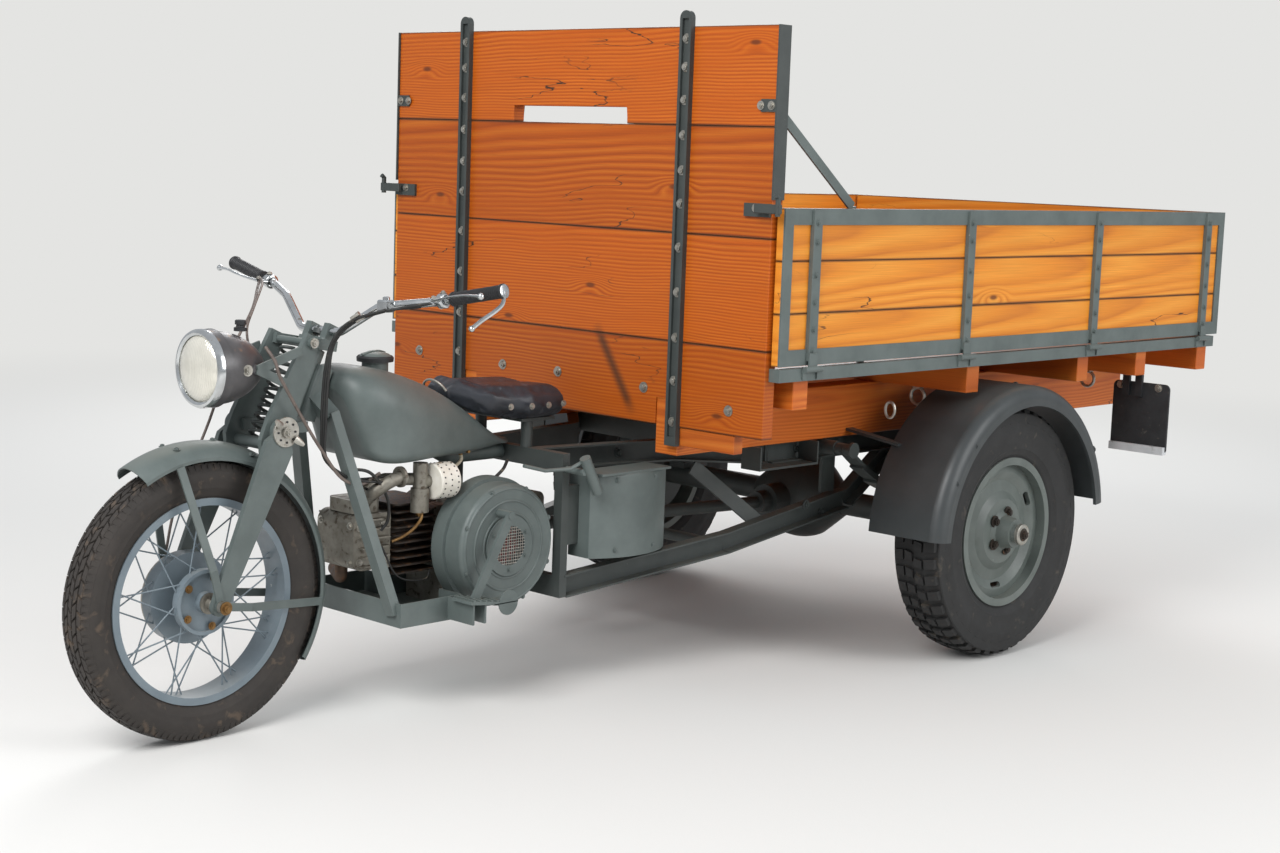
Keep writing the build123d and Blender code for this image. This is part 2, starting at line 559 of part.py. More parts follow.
# Fuel tank: a teardrop over the backbone, as sections from the head to the tail, with its filler cap
TANK_LOW = BACKBONE_Z + BACKBONE_R
tank_sections = [
    # y at the bottom, y at the top, half width, low z, high z, lower corner radius, upper corner radius
    (-1146, -1218, 84, TANK_LOW + 28, 838, 24, 58),
    (-1120, -1194, 126, TANK_LOW + 6, 880, 26, 90),
    (-1010, -1060, 148, TANK_LOW, 876, 28, 110),
    (-870, -885, 116, TANK_LOW, 814, 26, 84),
    (-743, -743, 76, TANK_LOW, 732, 18, 44),
    (-604, -604, 30, TANK_LOW + 3, 666, 4, 12),
]
with BuildPart() as fuel_tank:
    for y_low, y_high, half, low, high, low_r, high_r in tank_sections:
        tall = hypot(y_high - y_low, high - low)
        facing = (0, (low - high) / tall, (y_high - y_low) / tall)
        with BuildSketch(Plane(origin=(0, y_low, low), x_dir=(1, 0, 0), z_dir=facing)):
            with BuildLine() as outline:
                FilletPolyline(
                    (half, 0), (half, tall), (-half, tall), (-half, 0), close=True,
                    radius=[low_r, high_r, high_r, low_r],
                )
            make_face(outline.line)
    loft()
    bar(TUNNEL_FROM, TUNNEL_TO, 2 * BACKBONE_R + 2 * SEAT_GAP, 2 * BACKBONE_R + 2 * SEAT_GAP, mode=Mode.SUBTRACT)
    bar(TUNNEL_TO, (0, CRADLE_REAR_Y, BACKBONE_Z), 2 * BACKBONE_R + 2 * SEAT_GAP, 2 * BACKBONE_R + 2 * SEAT_GAP,
        mode=Mode.SUBTRACT)
    below = [(x, y, z - 60) for x, y, z in (TUNNEL_FROM, TUNNEL_TO)]
    bar(*below, 2 * BACKBONE_R + 2 * SEAT_GAP, 120, mode=Mode.SUBTRACT)
    with Locations((0, -1046, 880)):
        Cylinder(34, 30)
    with Locations((0, -1046, 900)):
        Cylinder(42, 10)
save(fuel_tank, "fuel_tank")

# Saddle: a broad leather seat with a raised nose, on a sprung frame
saddle_sections = [
    # y, half width, low z, high z
    (-848, 42, 802, 828), (-805, 72, 782, 838), (-740, 128, 748, 814), (-620, 162, 728, 810), (-490, 150, 728, 806),
]
with BuildPart() as saddle:
    for y, half, low, high in saddle_sections:
        with BuildSketch(Plane(origin=(0, y, 0), x_dir=(1, 0, 0), z_dir=(0, -1, 0))):
            with Locations((0, (low + high) / 2)):
                RectangleRounded(2 * half, high - low, 0.42 * (high - low))
    loft(ruled=True)
save(saddle, "saddle")

SEAT_SPRING_X = 92
SEAT_PAN_Z = saddle_sections[-1][2] - SEAT_GAP
with BuildPart() as saddle_frame:
    for side in (1, -1):
        with Locations((side * SEAT_SPRING_X, CRADLE_REAR_Y + POST_T / 2, (BEAM_LOW + SEAT_PAN_Z - 8) / 2)):
            Cylinder(16, SEAT_PAN_Z - 8 - BEAM_LOW)
    block((-SEAT_SPRING_X - 22, -632, SEAT_PAN_Z - 8), (SEAT_SPRING_X + 22, -510, SEAT_PAN_Z))
save(saddle_frame, "saddle_frame")

# Battery box with its rounded outer side, beside the saddle
BOX_LOW = 364
BOX_H = 230
with BuildPart() as battery_box:
    with BuildSketch(Plane.XY.offset(BOX_LOW)) as plan:
        with BuildLine() as outline:
            Line((212, BOX_FRONT_Y), (290, BOX_FRONT_Y))
            ThreePointArc((290, BOX_FRONT_Y), (335, -393), (290, -246))
            Polyline((290, -246), (212, -246), (212, BOX_FRONT_Y))
        make_face(outline.line)
    extrude(plan.sketch, amount=BOX_H)
    fillet(battery_box.edges().group_by(Axis.Z)[-1], radius=10)
save(battery_box, "battery_box")

# Hand lever: a stout tube with a bent rod running forward from its head
LEVER_X = 318
with BuildPart() as hand_lever:
    rod((LEVER_X, -592, 645), (LEVER_X, -540, 548), 15)
    rod((COLUMN_X + 15, CRADLE_REAR_Y + 16, 606), (LEVER_X, CRADLE_REAR_Y + 16, 606), 9)
    with BuildLine() as pull:
        FilletPolyline((LEVER_X - 6, -590, 636), (LEVER_X - 14, -630, 618), (LEVER_X - 26, -710, 618),
                       (LEVER_X - 34, -780, 636), radius=18)
    with BuildSketch(Plane(origin=pull.line @ 0, z_dir=pull.line % 0)) as bore:
        Circle(5)
    sweep(bore.sketch, path=pull.line)
save(hand_lever, "hand_lever")

# Propeller shaft between the gearbox and the rear axle
with BuildPart() as prop_shaft:
    rod((0, -520, CRANK_Z - 10), (0, -470, CRANK_Z - 10), 34)
    rod((0, -472, CRANK_Z - 10), (0, REAR_AXLE_Y - 232, REAR_TYRE_R), 19)
    rod((0, REAR_AXLE_Y - 234, REAR_TYRE_R), (0, REAR_AXLE_Y - 190, REAR_TYRE_R), 34)
save(prop_shaft, "propeller_shaft")

# Rear mudguards: wide flat crown, rolled outer shoulder with a bead, two stays each
GUARD_R = 440
GUARD_IN_X = 600
GUARD_OUT_X = 846
GUARD_T = 4
GUARD_FRONT = 87
GUARD_REAR = -82
with BuildPart() as rear_mudguards:
    for side in (1, -1):
        centre = (side * REAR_TRACK_X, REAR_AXLE_Y, REAR_TYRE_R)
        inner = side * (GUARD_IN_X - REAR_TRACK_X)
        outer = side * (GUARD_OUT_X - REAR_TRACK_X)
        with BuildSketch(radial_plane(centre, GUARD_REAR)) as section:
            with BuildLine() as sheet:
                Polyline((inner, GUARD_R - GUARD_T), (inner, GUARD_R), (outer - side * 36, GUARD_R))
                ThreePointArc((outer - side * 36, GUARD_R), (outer - side * 10, GUARD_R - 12), (outer, GUARD_R - 44))
                Polyline((outer, GUARD_R - 44), (outer, GUARD_R - 58), (outer - side * 10, GUARD_R - 58),
                         (outer - side * 10, GUARD_R - 46), (outer - side * GUARD_T, GUARD_R - 44))
                ThreePointArc((outer - side * GUARD_T, GUARD_R - 44), (outer - side * 13, GUARD_R - 15),
                              (outer - side * 38, GUARD_R - GUARD_T))
                Line((outer - side * 38, GUARD_R - GUARD_T), (inner, GUARD_R - GUARD_T))
            make_face(sheet.line)
        revolve(section.sketch, axis=Axis(centre, (1, 0, 0)), revolution_arc=GUARD_FRONT - GUARD_REAR)
        for lean in (52, -40):
            turn = radians(lean)
            foot = (side * (GUARD_IN_X + 30), REAR_AXLE_Y - GUARD_R * sin(turn), REAR_TYRE_R + GUARD_R * cos(turn))
            bar((side * (BEAM_X + BEAM_W / 2 + 0.6), foot[1], foot[2] + 22), (foot[0], foot[1], foot[2] - 2),
                8, 30, (0, 0, 1))
save(rear_mudguards, "rear_mudguards")

# Bed: two long timbers on the chassis
FLOOR_FRONT = HEADBOARD_Y + HEADBOARD_T
BEARER_YS = (-253, 526, 1114, 1460, 1850)
BEARER_W = 60
with BuildPart() as bed_timbers:
    for side in (1, -1):
        block((side * (BEAM_X - BEAM_W / 2), HEADBOARD_Y + 4, BEAM_LOW),
              (side * (BEAM_X + BEAM_W / 2), BED_END_Y - 36, BEARER_LOW))
save(bed_timbers, "bed_timbers")

# Cross bearers with their ends under the sills, notched over the mudguards, and two packing pieces
BEARER_END_X = BED_HALF + 22
PACKING_LOW = 676
BEAM_OUT_X = BEAM_X + BEAM_W / 2
with BuildPart() as bed_bearers:
    for place in BEARER_YS:
        block((-BEARER_END_X, place - BEARER_W / 2, BEARER_LOW), (BEARER_END_X, place + BEARER_W / 2, FLOOR_Z - FLOOR_T))
    for side in (1, -1):
        block((side * BEAM_OUT_X, HEADBOARD_Y + 4, PACKING_LOW), (side * (BEAM_OUT_X + 200), FLOOR_FRONT, HEADBOARD_LOW))
        disc(side * (GUARD_IN_X - 10), side * (GUARD_OUT_X + 10), REAR_AXLE_Y, REAR_TYRE_R, GUARD_R + 8,
             mode=Mode.SUBTRACT)
save(bed_bearers, "bed_bearers")

# Floor boards, laid along the bed
FLOOR_BOARDS = 8
floor_end = BED_END_Y - 52
with BuildPart() as bed_floor:
    block((-BED_HALF, FLOOR_FRONT, FLOOR_Z - FLOOR_T), (BED_HALF, floor_end, FLOOR_Z))
    board = 2 * BED_HALF / FLOOR_BOARDS
    for number in range(1, FLOOR_BOARDS):
        seam = -BED_HALF + number * board
        block((seam - 1, FLOOR_FRONT, FLOOR_Z - 4), (seam + 1, floor_end, FLOOR_Z), mode=Mode.SUBTRACT)
save(bed_floor, "bed_floor")

# Headboard: four wide planks, the top one with a viewing slot
SEAM_ZS = (954, 1241, 1523)
with BuildPart() as headboard:
    block((-BED_HALF, HEADBOARD_Y, HEADBOARD_LOW), (BED_HALF, FLOOR_FRONT, HEADBOARD_HIGH))
    block((-232, HEADBOARD_Y, 1530), (216, FLOOR_FRONT, 1570), mode=Mode.SUBTRACT)
    for seam in SEAM_ZS:
        block((-BED_HALF, HEADBOARD_Y, seam - 1.5), (BED_HALF, HEADBOARD_Y + 4, seam + 1.5), mode=Mode.SUBTRACT)
        block((-BED_HALF, FLOOR_FRONT - 4, seam - 1.5), (BED_HALF, FLOOR_FRONT, seam + 1.5), mode=Mode.SUBTRACT)
    for side in (1, -1):
        block((side * (BEAM_X - BEAM_W / 2), HEADBOARD_Y + 4, HEADBOARD_LOW),
              (side * (BEAM_X + BEAM_W / 2), FLOOR_FRONT, BEARER_LOW), mode=Mode.SUBTRACT)
save(headboard, "headboard")

# Headboard irons: two upright channels with rounded tops, edge irons and gate catches
IRON_X = 431
IRON_W = 40
IRON_T = 16
IRON_TOP = HEADBOARD_HIGH + IRON_W
with BuildPart() as headboard_irons:
    for middle in (-IRON_X, IRON_X):
        with BuildSketch(Plane(origin=(middle, HEADBOARD_Y, 0), x_dir=(1, 0, 0), z_dir=(0, -1, 0))) as face:
            with BuildLine() as outline:
                Polyline((IRON_W / 2, IRON_TOP - 20), (IRON_W / 2, PACKING_LOW), (-IRON_W / 2, PACKING_LOW),
                         (-IRON_W / 2, IRON_TOP - 20))
                ThreePointArc((-IRON_W / 2, IRON_TOP - 20), (0, IRON_TOP), (IRON_W / 2, IRON_TOP - 20))
            make_face(outline.line)
        extrude(face.sketch, amount=IRON_T)
        block((middle - 11, HEADBOARD_Y - IRON_T, PACKING_LOW + 24),
              (middle + 11, HEADBOARD_Y - IRON_T + 8, IRON_TOP - 20), mode=Mode.SUBTRACT)
    for side in (1, -1):
        # Flat iron round the edge, and the catch that holds the gate's front post
        block((side * (BED_HALF - 48), HEADBOARD_Y - 5, 1560), (side * BED_HALF, HEADBOARD_Y, 1592))
        block((side * (BED_HALF - 88), HEADBOARD_Y - 8, GATE_HIGH - 25), (side * (BED_HALF - 3), HEADBOARD_Y, GATE_HIGH + 9))
        block((side * BED_HALF, HEADBOARD_Y - 5, 1340), (side * (BED_HALF + 5), FLOOR_FRONT, HEADBOARD_HIGH))
save(headboard_irons, "headboard_irons")

# Fixed side and rear sills with their hinge knuckles, and the brace bars inside the bed
LEAF_IRON_T = 4
GATE_DEEP = GATE_BOARD_T + GATE_IRON_T + STRAP_T + LEAF_IRON_T
HINGE_X = GATE_IN + GATE_DEEP
HINGE_Y = BED_END_Y - HINGE_R
HINGE_Z = GATE_LOW - MOVING_GAP - 4
KNUCKLE_L = 44
SIDE_LENGTH = BED_END_Y - GATE_FRONT_Y
SIDE_STRAPS = (0.055, 0.358, 0.655, 0.951)
TAIL_LENGTH = 2 * (GATE_IN - 8)
TAIL_STRAPS = (0.12, 0.5, 0.88)
with BuildPart() as bed_irons:
    for side in (1, -1):
        block((side * BED_HALF, GATE_FRONT_Y, SILL_HIGH - 34), (side * SILL_X, BED_END_Y - 24, SILL_HIGH))
        bar((side * (BED_HALF - 5), FLOOR_FRONT, 1545), (side * (BED_HALF - 5), -40, 1325), 6, 26)
        bar((side * (BED_HALF - 5), -40, 1325), (side * (BED_HALF - 5), 30, FLOOR_Z), 6, 26)
    block((-BED_HALF, floor_end, SILL_HIGH - 34), (BED_HALF, HINGE_Y - HINGE_R - 1, SILL_HIGH))
    block((-BED_HALF, HEADBOARD_Y, HEADBOARD_LOW), (BED_HALF, FLOOR_FRONT, HEADBOARD_HIGH), mode=Mode.SUBTRACT)
    block((-BED_HALF, FLOOR_FRONT, FLOOR_Z - FLOOR_T), (BED_HALF, floor_end, FLOOR_Z), mode=Mode.SUBTRACT)
    # Fixed knuckles either side of each gate hinge
    for share in SIDE_STRAPS:
        for step in (-1, 1):
            place = GATE_FRONT_Y + share * SIDE_LENGTH + step * (KNUCKLE_L / 2 + 6.5)
            for side in (1, -1):
                rod((side * HINGE_X, place - 6, HINGE_Z), (side * HINGE_X, place + 6, HINGE_Z), HINGE_R)
                block((side * SILL_X, place - 6, SILL_HIGH - 30), (side * (SILL_X + 5), place + 6, HINGE_Z))
                block((side * SILL_X, place - 6, HINGE_Z - HINGE_R), (side * HINGE_X, place + 6, HINGE_Z - 2))
    for share in TAIL_STRAPS:
        for step in (-1, 1):
            place = (share - 0.5) * TAIL_LENGTH + step * (KNUCKLE_L / 2 + 6.5)
            rod((place - 6, HINGE_Y, HINGE_Z), (place + 6, HINGE_Y, HINGE_Z), HINGE_R)
            block((place - 6, HINGE_Y - HINGE_R - 1, HINGE_Z - HINGE_R), (place + 6, HINGE_Y, HINGE_Z - 2))
save(bed_irons, "bed_irons")


def gate(word, frame, length, catch_ends):
    """Boards and irons of one drop gate, drawn flat: x along the gate, y up it, z out of the bed."""
    height = GATE_HIGH - GATE_LOW
    board = height / GATE_PLANKS
    with BuildPart() as boards:
        with BuildSketch(frame) as face:
            with Locations((length / 2, height / 2)):
                Rectangle(length, height)
        extrude(face.sketch, amount=GATE_BOARD_T)
        for number in range(1, GATE_PLANKS):
            with BuildSketch(frame.offset(GATE_BOARD_T - 3)) as seam:
                with Locations((length / 2, number * board)):
                    Rectangle(length, 3)
            extrude(seam.sketch, amount=3, mode=Mode.SUBTRACT)
    save(boards, f"{word}_boards")
    with BuildPart() as irons:
        with BuildSketch(frame.offset(GATE_BOARD_T)) as face:
            with Locations((length / 2, height / 2)):
                Rectangle(length, height)
                Rectangle(length - 70, height - 84, mode=Mode.SUBTRACT)
        extrude(face.sketch, amount=GATE_IRON_T)
        with BuildSketch(frame.offset(GATE_BOARD_T)) as straps:
            for share in catch_ends:
                with Locations((share * length, height / 2 + 4)):
                    Rectangle(34, height - 16)
        extrude(straps.sketch, amount=GATE_IRON_T + STRAP_T)
        for share in catch_ends:
            centre = frame.from_local_coords(Vector(share * length - KNUCKLE_L / 2, HINGE_Z - GATE_LOW, GATE_DEEP))
            with BuildSketch(Plane(origin=centre, x_dir=frame.y_dir, z_dir=frame.x_dir)) as pin:
                Circle(HINGE_R)
            extrude(pin.sketch, amount=KNUCKLE_L)
            with BuildSketch(frame.offset(GATE_DEEP - LEAF_IRON_T)) as leaf:
                with Locations((share * length, 12)):
                    Rectangle(34, 40)
            extrude(leaf.sketch, amount=LEAF_IRON_T)
    save(irons, f"{word}_irons")


gate("side_gate_left", Plane(origin=(GATE_IN, GATE_FRONT_Y, GATE_LOW), x_dir=(0, 1, 0), z_dir=(1, 0, 0)),
     SIDE_LENGTH, SIDE_STRAPS)
gate("side_gate_right", Plane(origin=(-GATE_IN, BED_END_Y, GATE_LOW), x_dir=(0, -1, 0), z_dir=(-1, 0, 0)),
     SIDE_LENGTH, [1 - share for share in SIDE_STRAPS])
tail_in = HINGE_Y - GATE_DEEP
gate("tailgate", Plane(origin=(TAIL_LENGTH / 2, tail_in, GATE_LOW), x_dir=(-1, 0, 0), z_dir=(0, 1, 0)),
     TAIL_LENGTH, TAIL_STRAPS)

# Mud flaps under the bed behind the rear wheels, each on a bar with eye bolts
FLAP_Y = 1500
with BuildPart() as mud_flaps:
    for side in (1, -1):
        with BuildSketch(Plane.XZ.offset(-FLAP_Y)) as sheet:
            with Locations((side * 750, 662)):
                RectangleRounded(200, 226, 18)
        extrude(sheet.sketch, amount=8)
        bar((side * 700, FLAP_Y - 14, BEARER_LOW), (side * 700, FLAP_Y - 14, 730), 24, 12)
        bar((side * 745, FLAP_Y - 14, BEARER_LOW), (side * 745, FLAP_Y - 14, 730), 24, 12)
save(mud_flaps, "mud_flaps")

# Tie rings under the bed's edge
RING_R = 24
RING_X = 570
with BuildPart() as tie_rings:
    for side in (1, -1):
        for place in (526, 1460):
            with Locations((side * RING_X, place, BEARER_LOW - RING_R - 6)):
                with Locations(Rotation(90, 0, 0)):
                    Torus(RING_R, 5)
            with Locations((side * RING_X, place, BEARER_LOW - 4)):
                Box(26, 20, 8)
save(tie_rings, "tie_rings")


def side_plane(x):
    """Sketch plane along the fork at x: x back from the steering axis, y up along it."""
    return Plane(origin=head(x, 0, 0), x_dir=HEAD.y_dir, z_dir=(1, 0, 0))


def head_disc(x0, x1, back, up, radius, mode=Mode.ADD):
    """A round piece across the fork, from x0 to x1, placed in the head's frame."""
    with BuildSketch(side_plane(x0)) as section:
        with Locations((back, up)):
            Circle(radius)
    extrude(section.sketch, amount=x1 - x0, mode=mode)


# Girder fork: pressed blades and upper legs with cross tubes, and the headlamp's brackets
LAMP_Y = -1470
LAMP_Z = 900
with BuildPart() as fork_girder:
    for side in (1, -1):
        low_in = side * (FORK_LOW_X - BLADE_WALL)
        with BuildSketch(side_plane(low_in)) as blade:
            with BuildLine() as outline:
                Polyline((FORK_AXLE_BACK - 22, FORK_AXLE_Z), (FORK_BACK - 42, FORK_KNEE_Z), (FORK_BACK - 20, FORK_KNEE_Z + 34),
                         (FORK_BACK + 20, FORK_KNEE_Z + 34), (FORK_BACK + 42, FORK_KNEE_Z), (FORK_AXLE_BACK + 22, FORK_AXLE_Z))
                ThreePointArc((FORK_AXLE_BACK + 22, FORK_AXLE_Z), (FORK_AXLE_BACK, FORK_AXLE_Z - 24),
                              (FORK_AXLE_BACK - 22, FORK_AXLE_Z))
            make_face(outline.line)
        extrude(blade.sketch, amount=side * BLADE_WALL)
        with BuildSketch(side_plane(side * (FORK_TOP_X - BLADE_WALL))) as leg:
            with BuildLine() as outline:
                Polyline((FORK_BACK - 42, FORK_KNEE_Z), (FORK_BACK - 44, FORK_KNEE_Z + 60), (FORK_BACK - 22, FORK_TOP_Z),
                         (FORK_BACK + 22, FORK_TOP_Z), (FORK_BACK + 36, FORK_KNEE_Z + 60), (FORK_BACK + 42, FORK_KNEE_Z),
                         (FORK_BACK + 20, FORK_KNEE_Z - 40), (FORK_BACK - 20, FORK_KNEE_Z - 40), close=True)
            make_face(outline.line)
        extrude(leg.sketch, amount=side * BLADE_WALL)
        head_disc(side * (FORK_TOP_X - BLADE_WALL), side * FORK_LOW_X, FORK_BACK, FORK_KNEE_Z, 20)
        head_disc(side * FORK_TOP_X, side * (FORK_TOP_X + 12), FORK_BACK, -32, 14)
        head_disc(side * FORK_TOP_X, side * (FORK_TOP_X + 26), FORK_BACK, -262, 30)
        for back, up in ((FORK_BACK - 26, -62), (FORK_BACK - 34, -150)):
            bar((side * (FORK_TOP_X + 3), LAMP_Y, LAMP_Z), head(side * (FORK_TOP_X + 3), back, up), 6, 22)
    head_disc(-FORK_TOP_X + 2, FORK_TOP_X - 2, FORK_BACK, FORK_KNEE_Z, 15)
    head_disc(-FORK_LOW_X - 1, FORK_LOW_X + 1, FORK_AXLE_BACK, FORK_AXLE_Z, AXLE_R, mode=Mode.SUBTRACT)
save(fork_girder, "fork_girder")

# Handlebar: one bent tube
BAR_R = 11
BAR_UP = 22
bar_mid = head(0, 0, BAR_UP)
BAR_RUN = [(75, bar_mid[1] - 2, bar_mid[2] + 2), (190, bar_mid[1] + 34, 1052), (330, -1124, 1072), (543, -1100, 1113)]
with BuildPart() as handlebar:
    points = [(-x, y, z) for x, y, z in reversed(BAR_RUN)] + BAR_RUN
    with BuildLine() as line:
        FilletPolyline(*points, radius=42)
    with BuildSketch(Plane(origin=line.line @ 0, z_dir=line.line % 0)) as section:
        Circle(BAR_R)
    sweep(section.sketch, path=line.line)
save(handlebar, "handlebar")

# Steering stem with its yokes and the parallel links out to the girder
LINK_X = FORK_TOP_X - BLADE_WALL
LINK_T = 12
with BuildPart() as steering_stem:
    with BuildSketch(HEAD.offset(LINK_LOW_Z - 12)) as stem:
        Circle(STEM_R)
    extrude(stem.sketch, amount=12 - LINK_LOW_Z)
    for base, tall in ((-YOKE_T, YOKE_T), (LINK_LOW_Z - YOKE_T / 2, YOKE_T)):
        with BuildSketch(HEAD.offset(base)) as yoke:
            RectangleRounded(2 * (LINK_X - LINK_T), 50, 12)
        extrude(yoke.sketch, amount=tall)
    for side in (1, -1):
        for back, up, rear_up in ((FORK_BACK, -32, -YOKE_T / 2), (FORK_BACK, -262, LINK_LOW_Z)):
            bar(head(side * (LINK_X - LINK_T / 2), back - 10, up - 1), head(side * (LINK_X - LINK_T / 2), 14, rear_up + 1),
                LINK_T, 26)
        with BuildSketch(HEAD.offset(0)) as clamp:
            with Locations((side * 36, 0)):
                Rectangle(22, 34)
        extrude(clamp.sketch, amount=40)
    head_disc(-LINK_X, LINK_X, FORK_BACK, -32, 9)
    add(handlebar.part, mode=Mode.SUBTRACT)
save(steering_stem, "steering_stem")

# Rubber grips and the two brake levers
GRIP_R = 16
GRIP_FROM = 0.24
with BuildPart() as handlebar_grips:
    for side in (1, -1):
        inner, outer = (Vector(side * x, y, z) for x, y, z in BAR_RUN[2:])
        start = inner + (outer - inner) * GRIP_FROM
        stop = inner + (outer - inner) * 0.99
        rod(tuple(start), tuple(stop), GRIP_R, BAR_R + SEAT_GAP)
save(handlebar_grips, "handlebar_grips")

with BuildPart() as hand_levers:
    for side in (1, -1):
        with BuildLine() as lever:
            FilletPolyline((side * 345, -1150, 1076), (side * 400, -1172, 1086), (side * 470, -1168, 1098),
                           (side * 530, -1158, 1100), radius=30)
        with BuildSketch(Plane(origin=lever.line @ 0, z_dir=lever.line % 0)) as section:
            Circle(5)
        sweep(section.sketch, path=lever.line)
        rod((side * 345, -1122 - BAR_R, 1075), (side * 345, -1158, 1075), 11)
    add(handlebar.part, mode=Mode.SUBTRACT)
save(hand_levers, "hand_levers")

# Headlamp: bullet shell with a rim, and its domed glass
LENS_R = 88
LENS_RISE = 26
with BuildPart() as headlamp:
    with BuildSketch(Plane(origin=(0, LAMP_Y, LAMP_Z), x_dir=(0, -1, 0), z_dir=(1, 0, 0))):
        with BuildLine() as outline:
            Line((-62, 0), (-62, 24))
            ThreePointArc((-62, 24), (0, 74), (74, LENS_R))
            Polyline((74, LENS_R), (74, LENS_R + 7), (104, LENS_R + 5), (108, LENS_R - 6), (104, LENS_R - 6), (104, 0), (-62, 0))
        make_face(outline.line)
    revolve(axis=Axis((0, LAMP_Y, LAMP_Z), (0, 1, 0)))
    disc(-FORK_TOP_X, FORK_TOP_X, LAMP_Y, LAMP_Z, 12)
save(headlamp, "headlamp_shell")
with BuildPart() as headlamp_glass:
    with BuildSketch(Plane(origin=(0, LAMP_Y, LAMP_Z), x_dir=(0, -1, 0), z_dir=(1, 0, 0))):
        with BuildLine() as outline:
            glass_r = LENS_R - 6 - SEAT_GAP
            dome_r = (glass_r**2 + LENS_RISE**2) / (2 * LENS_RISE)
            dome_x = 104 + LENS_RISE - dome_r
            half_turn = atan2(glass_r, 104 - dome_x) / 2
            Polyline((104 + LENS_RISE, 0), (104, 0), (104, glass_r))
            ThreePointArc((104, glass_r), (dome_x + dome_r * cos(half_turn), dome_r * sin(half_turn)),
                          (104 + LENS_RISE, 0))
        make_face(outline.line)
    revolve(axis=Axis((0, LAMP_Y, LAMP_Z), (0, 1, 0)))
save(headlamp_glass, "headlamp_glass")

# Front mudguard: a crowned sheet following the wheel, with flat stays to the axle
FGUARD = (0, -1590, 352)
FGUARD_R = 377
FGUARD_HALF = 62
FGUARD_T = 3
STAY_X = FORK_LOW_X + 2.5
with BuildPart() as front_mudguard:
    edge = FGUARD_R - 34
    with BuildSketch(radial_plane(FGUARD, -123)) as section:
        with BuildLine() as sheet:
            ThreePointArc((-FGUARD_HALF, edge), (0, FGUARD_R), (FGUARD_HALF, edge))
            Polyline((FGUARD_HALF, edge), (FGUARD_HALF, edge - 8), (FGUARD_HALF - FGUARD_T, edge - 8),
                     (FGUARD_HALF - FGUARD_T, edge))
            ThreePointArc((FGUARD_HALF - FGUARD_T, edge), (0, FGUARD_R - FGUARD_T), (FGUARD_T - FGUARD_HALF, edge))
            Polyline((FGUARD_T - FGUARD_HALF, edge), (FGUARD_T - FGUARD_HALF, edge - 8), (-FGUARD_HALF, edge - 8),
                     (-FGUARD_HALF, edge))
        make_face(sheet.line)
    revolve(section.sketch, axis=Axis(FGUARD, (1, 0, 0)), revolution_arc=123 + 30)
    for side in (1, -1):
        for lean in (14, -98):
            turn = radians(lean)
            top = (side * (FGUARD_HALF + 2), FGUARD[1] - 336 * sin(turn), FGUARD[2] + 336 * cos(turn))
            elbow = (side * STAY_X, FRONT_AXLE_Y - 90 * sin(turn), FRONT_TYRE_R + 90 * cos(turn))
            bar(top, elbow, 5, 20)
            bar(elbow, (side * STAY_X, FRONT_AXLE_Y, FRONT_TYRE_R), 5, 20)
        disc(side * (STAY_X - 2.5), side * (STAY_X + 2.5), FRONT_AXLE_Y, FRONT_TYRE_R, 16)
    disc(-STAY_X - 3, STAY_X + 3, FRONT_AXLE_Y, FRONT_TYRE_R, AXLE_R, mode=Mode.SUBTRACT)
save(front_mudguard, "front_mudguard")

# Front axle with its nuts, and the brake back plate in the drum's mouth
with BuildPart() as front_axle:
    axle = (FRONT_AXLE_Y, FRONT_TYRE_R)
    disc(-FORK_LOW_X - 22, FORK_LOW_X + 22, *axle, AXLE_R - 0.05)
    for side in (1, -1):
        disc(side * (FORK_LOW_X + 5), side * (FORK_LOW_X + 18), *axle, 15)
    disc(-HUB_DRUM_X - 10, -HUB_DRUM_X - 2, *axle, HUB_DRUM_R - 3)
save(front_axle, "front_axle")
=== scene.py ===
import bmesh
import bpy
from math import atan2, cos, pi, radians, sin, sqrt
from mathutils import Matrix, Vector
from mathutils.bvhtree import BVHTree
from random import Random


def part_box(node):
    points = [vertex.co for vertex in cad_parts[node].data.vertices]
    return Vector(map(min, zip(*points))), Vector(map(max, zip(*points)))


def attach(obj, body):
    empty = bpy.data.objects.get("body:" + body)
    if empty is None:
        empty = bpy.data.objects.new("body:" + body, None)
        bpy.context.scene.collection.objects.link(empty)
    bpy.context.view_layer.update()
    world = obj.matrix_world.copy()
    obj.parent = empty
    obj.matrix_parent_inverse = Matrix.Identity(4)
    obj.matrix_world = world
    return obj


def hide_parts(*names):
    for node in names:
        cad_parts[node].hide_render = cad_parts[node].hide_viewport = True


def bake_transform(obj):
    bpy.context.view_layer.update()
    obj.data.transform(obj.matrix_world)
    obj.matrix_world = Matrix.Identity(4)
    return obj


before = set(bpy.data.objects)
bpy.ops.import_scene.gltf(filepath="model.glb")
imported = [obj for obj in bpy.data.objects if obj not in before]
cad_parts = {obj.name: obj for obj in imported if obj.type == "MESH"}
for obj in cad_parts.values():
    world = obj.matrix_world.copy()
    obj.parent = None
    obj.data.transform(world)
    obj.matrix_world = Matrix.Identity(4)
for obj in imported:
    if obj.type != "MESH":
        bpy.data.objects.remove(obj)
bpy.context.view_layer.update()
scene = bpy.context.scene
scene.view_settings.view_transform = "Standard"

# Camera: standing in front of the machine's left side at eye height, looking slightly down.
# The focal length is that of the photograph's full width on a 36 mm sensor.
CAMERA_AT = Vector((4.0804, -4.3514, 1.4422))
CAMERA_AZIMUTH = radians(43.497)
CAMERA_ELEVATION = radians(7.585)
CAMERA_ROLL = radians(2.087)
SENSOR = 36.0
FOCAL = 57.42


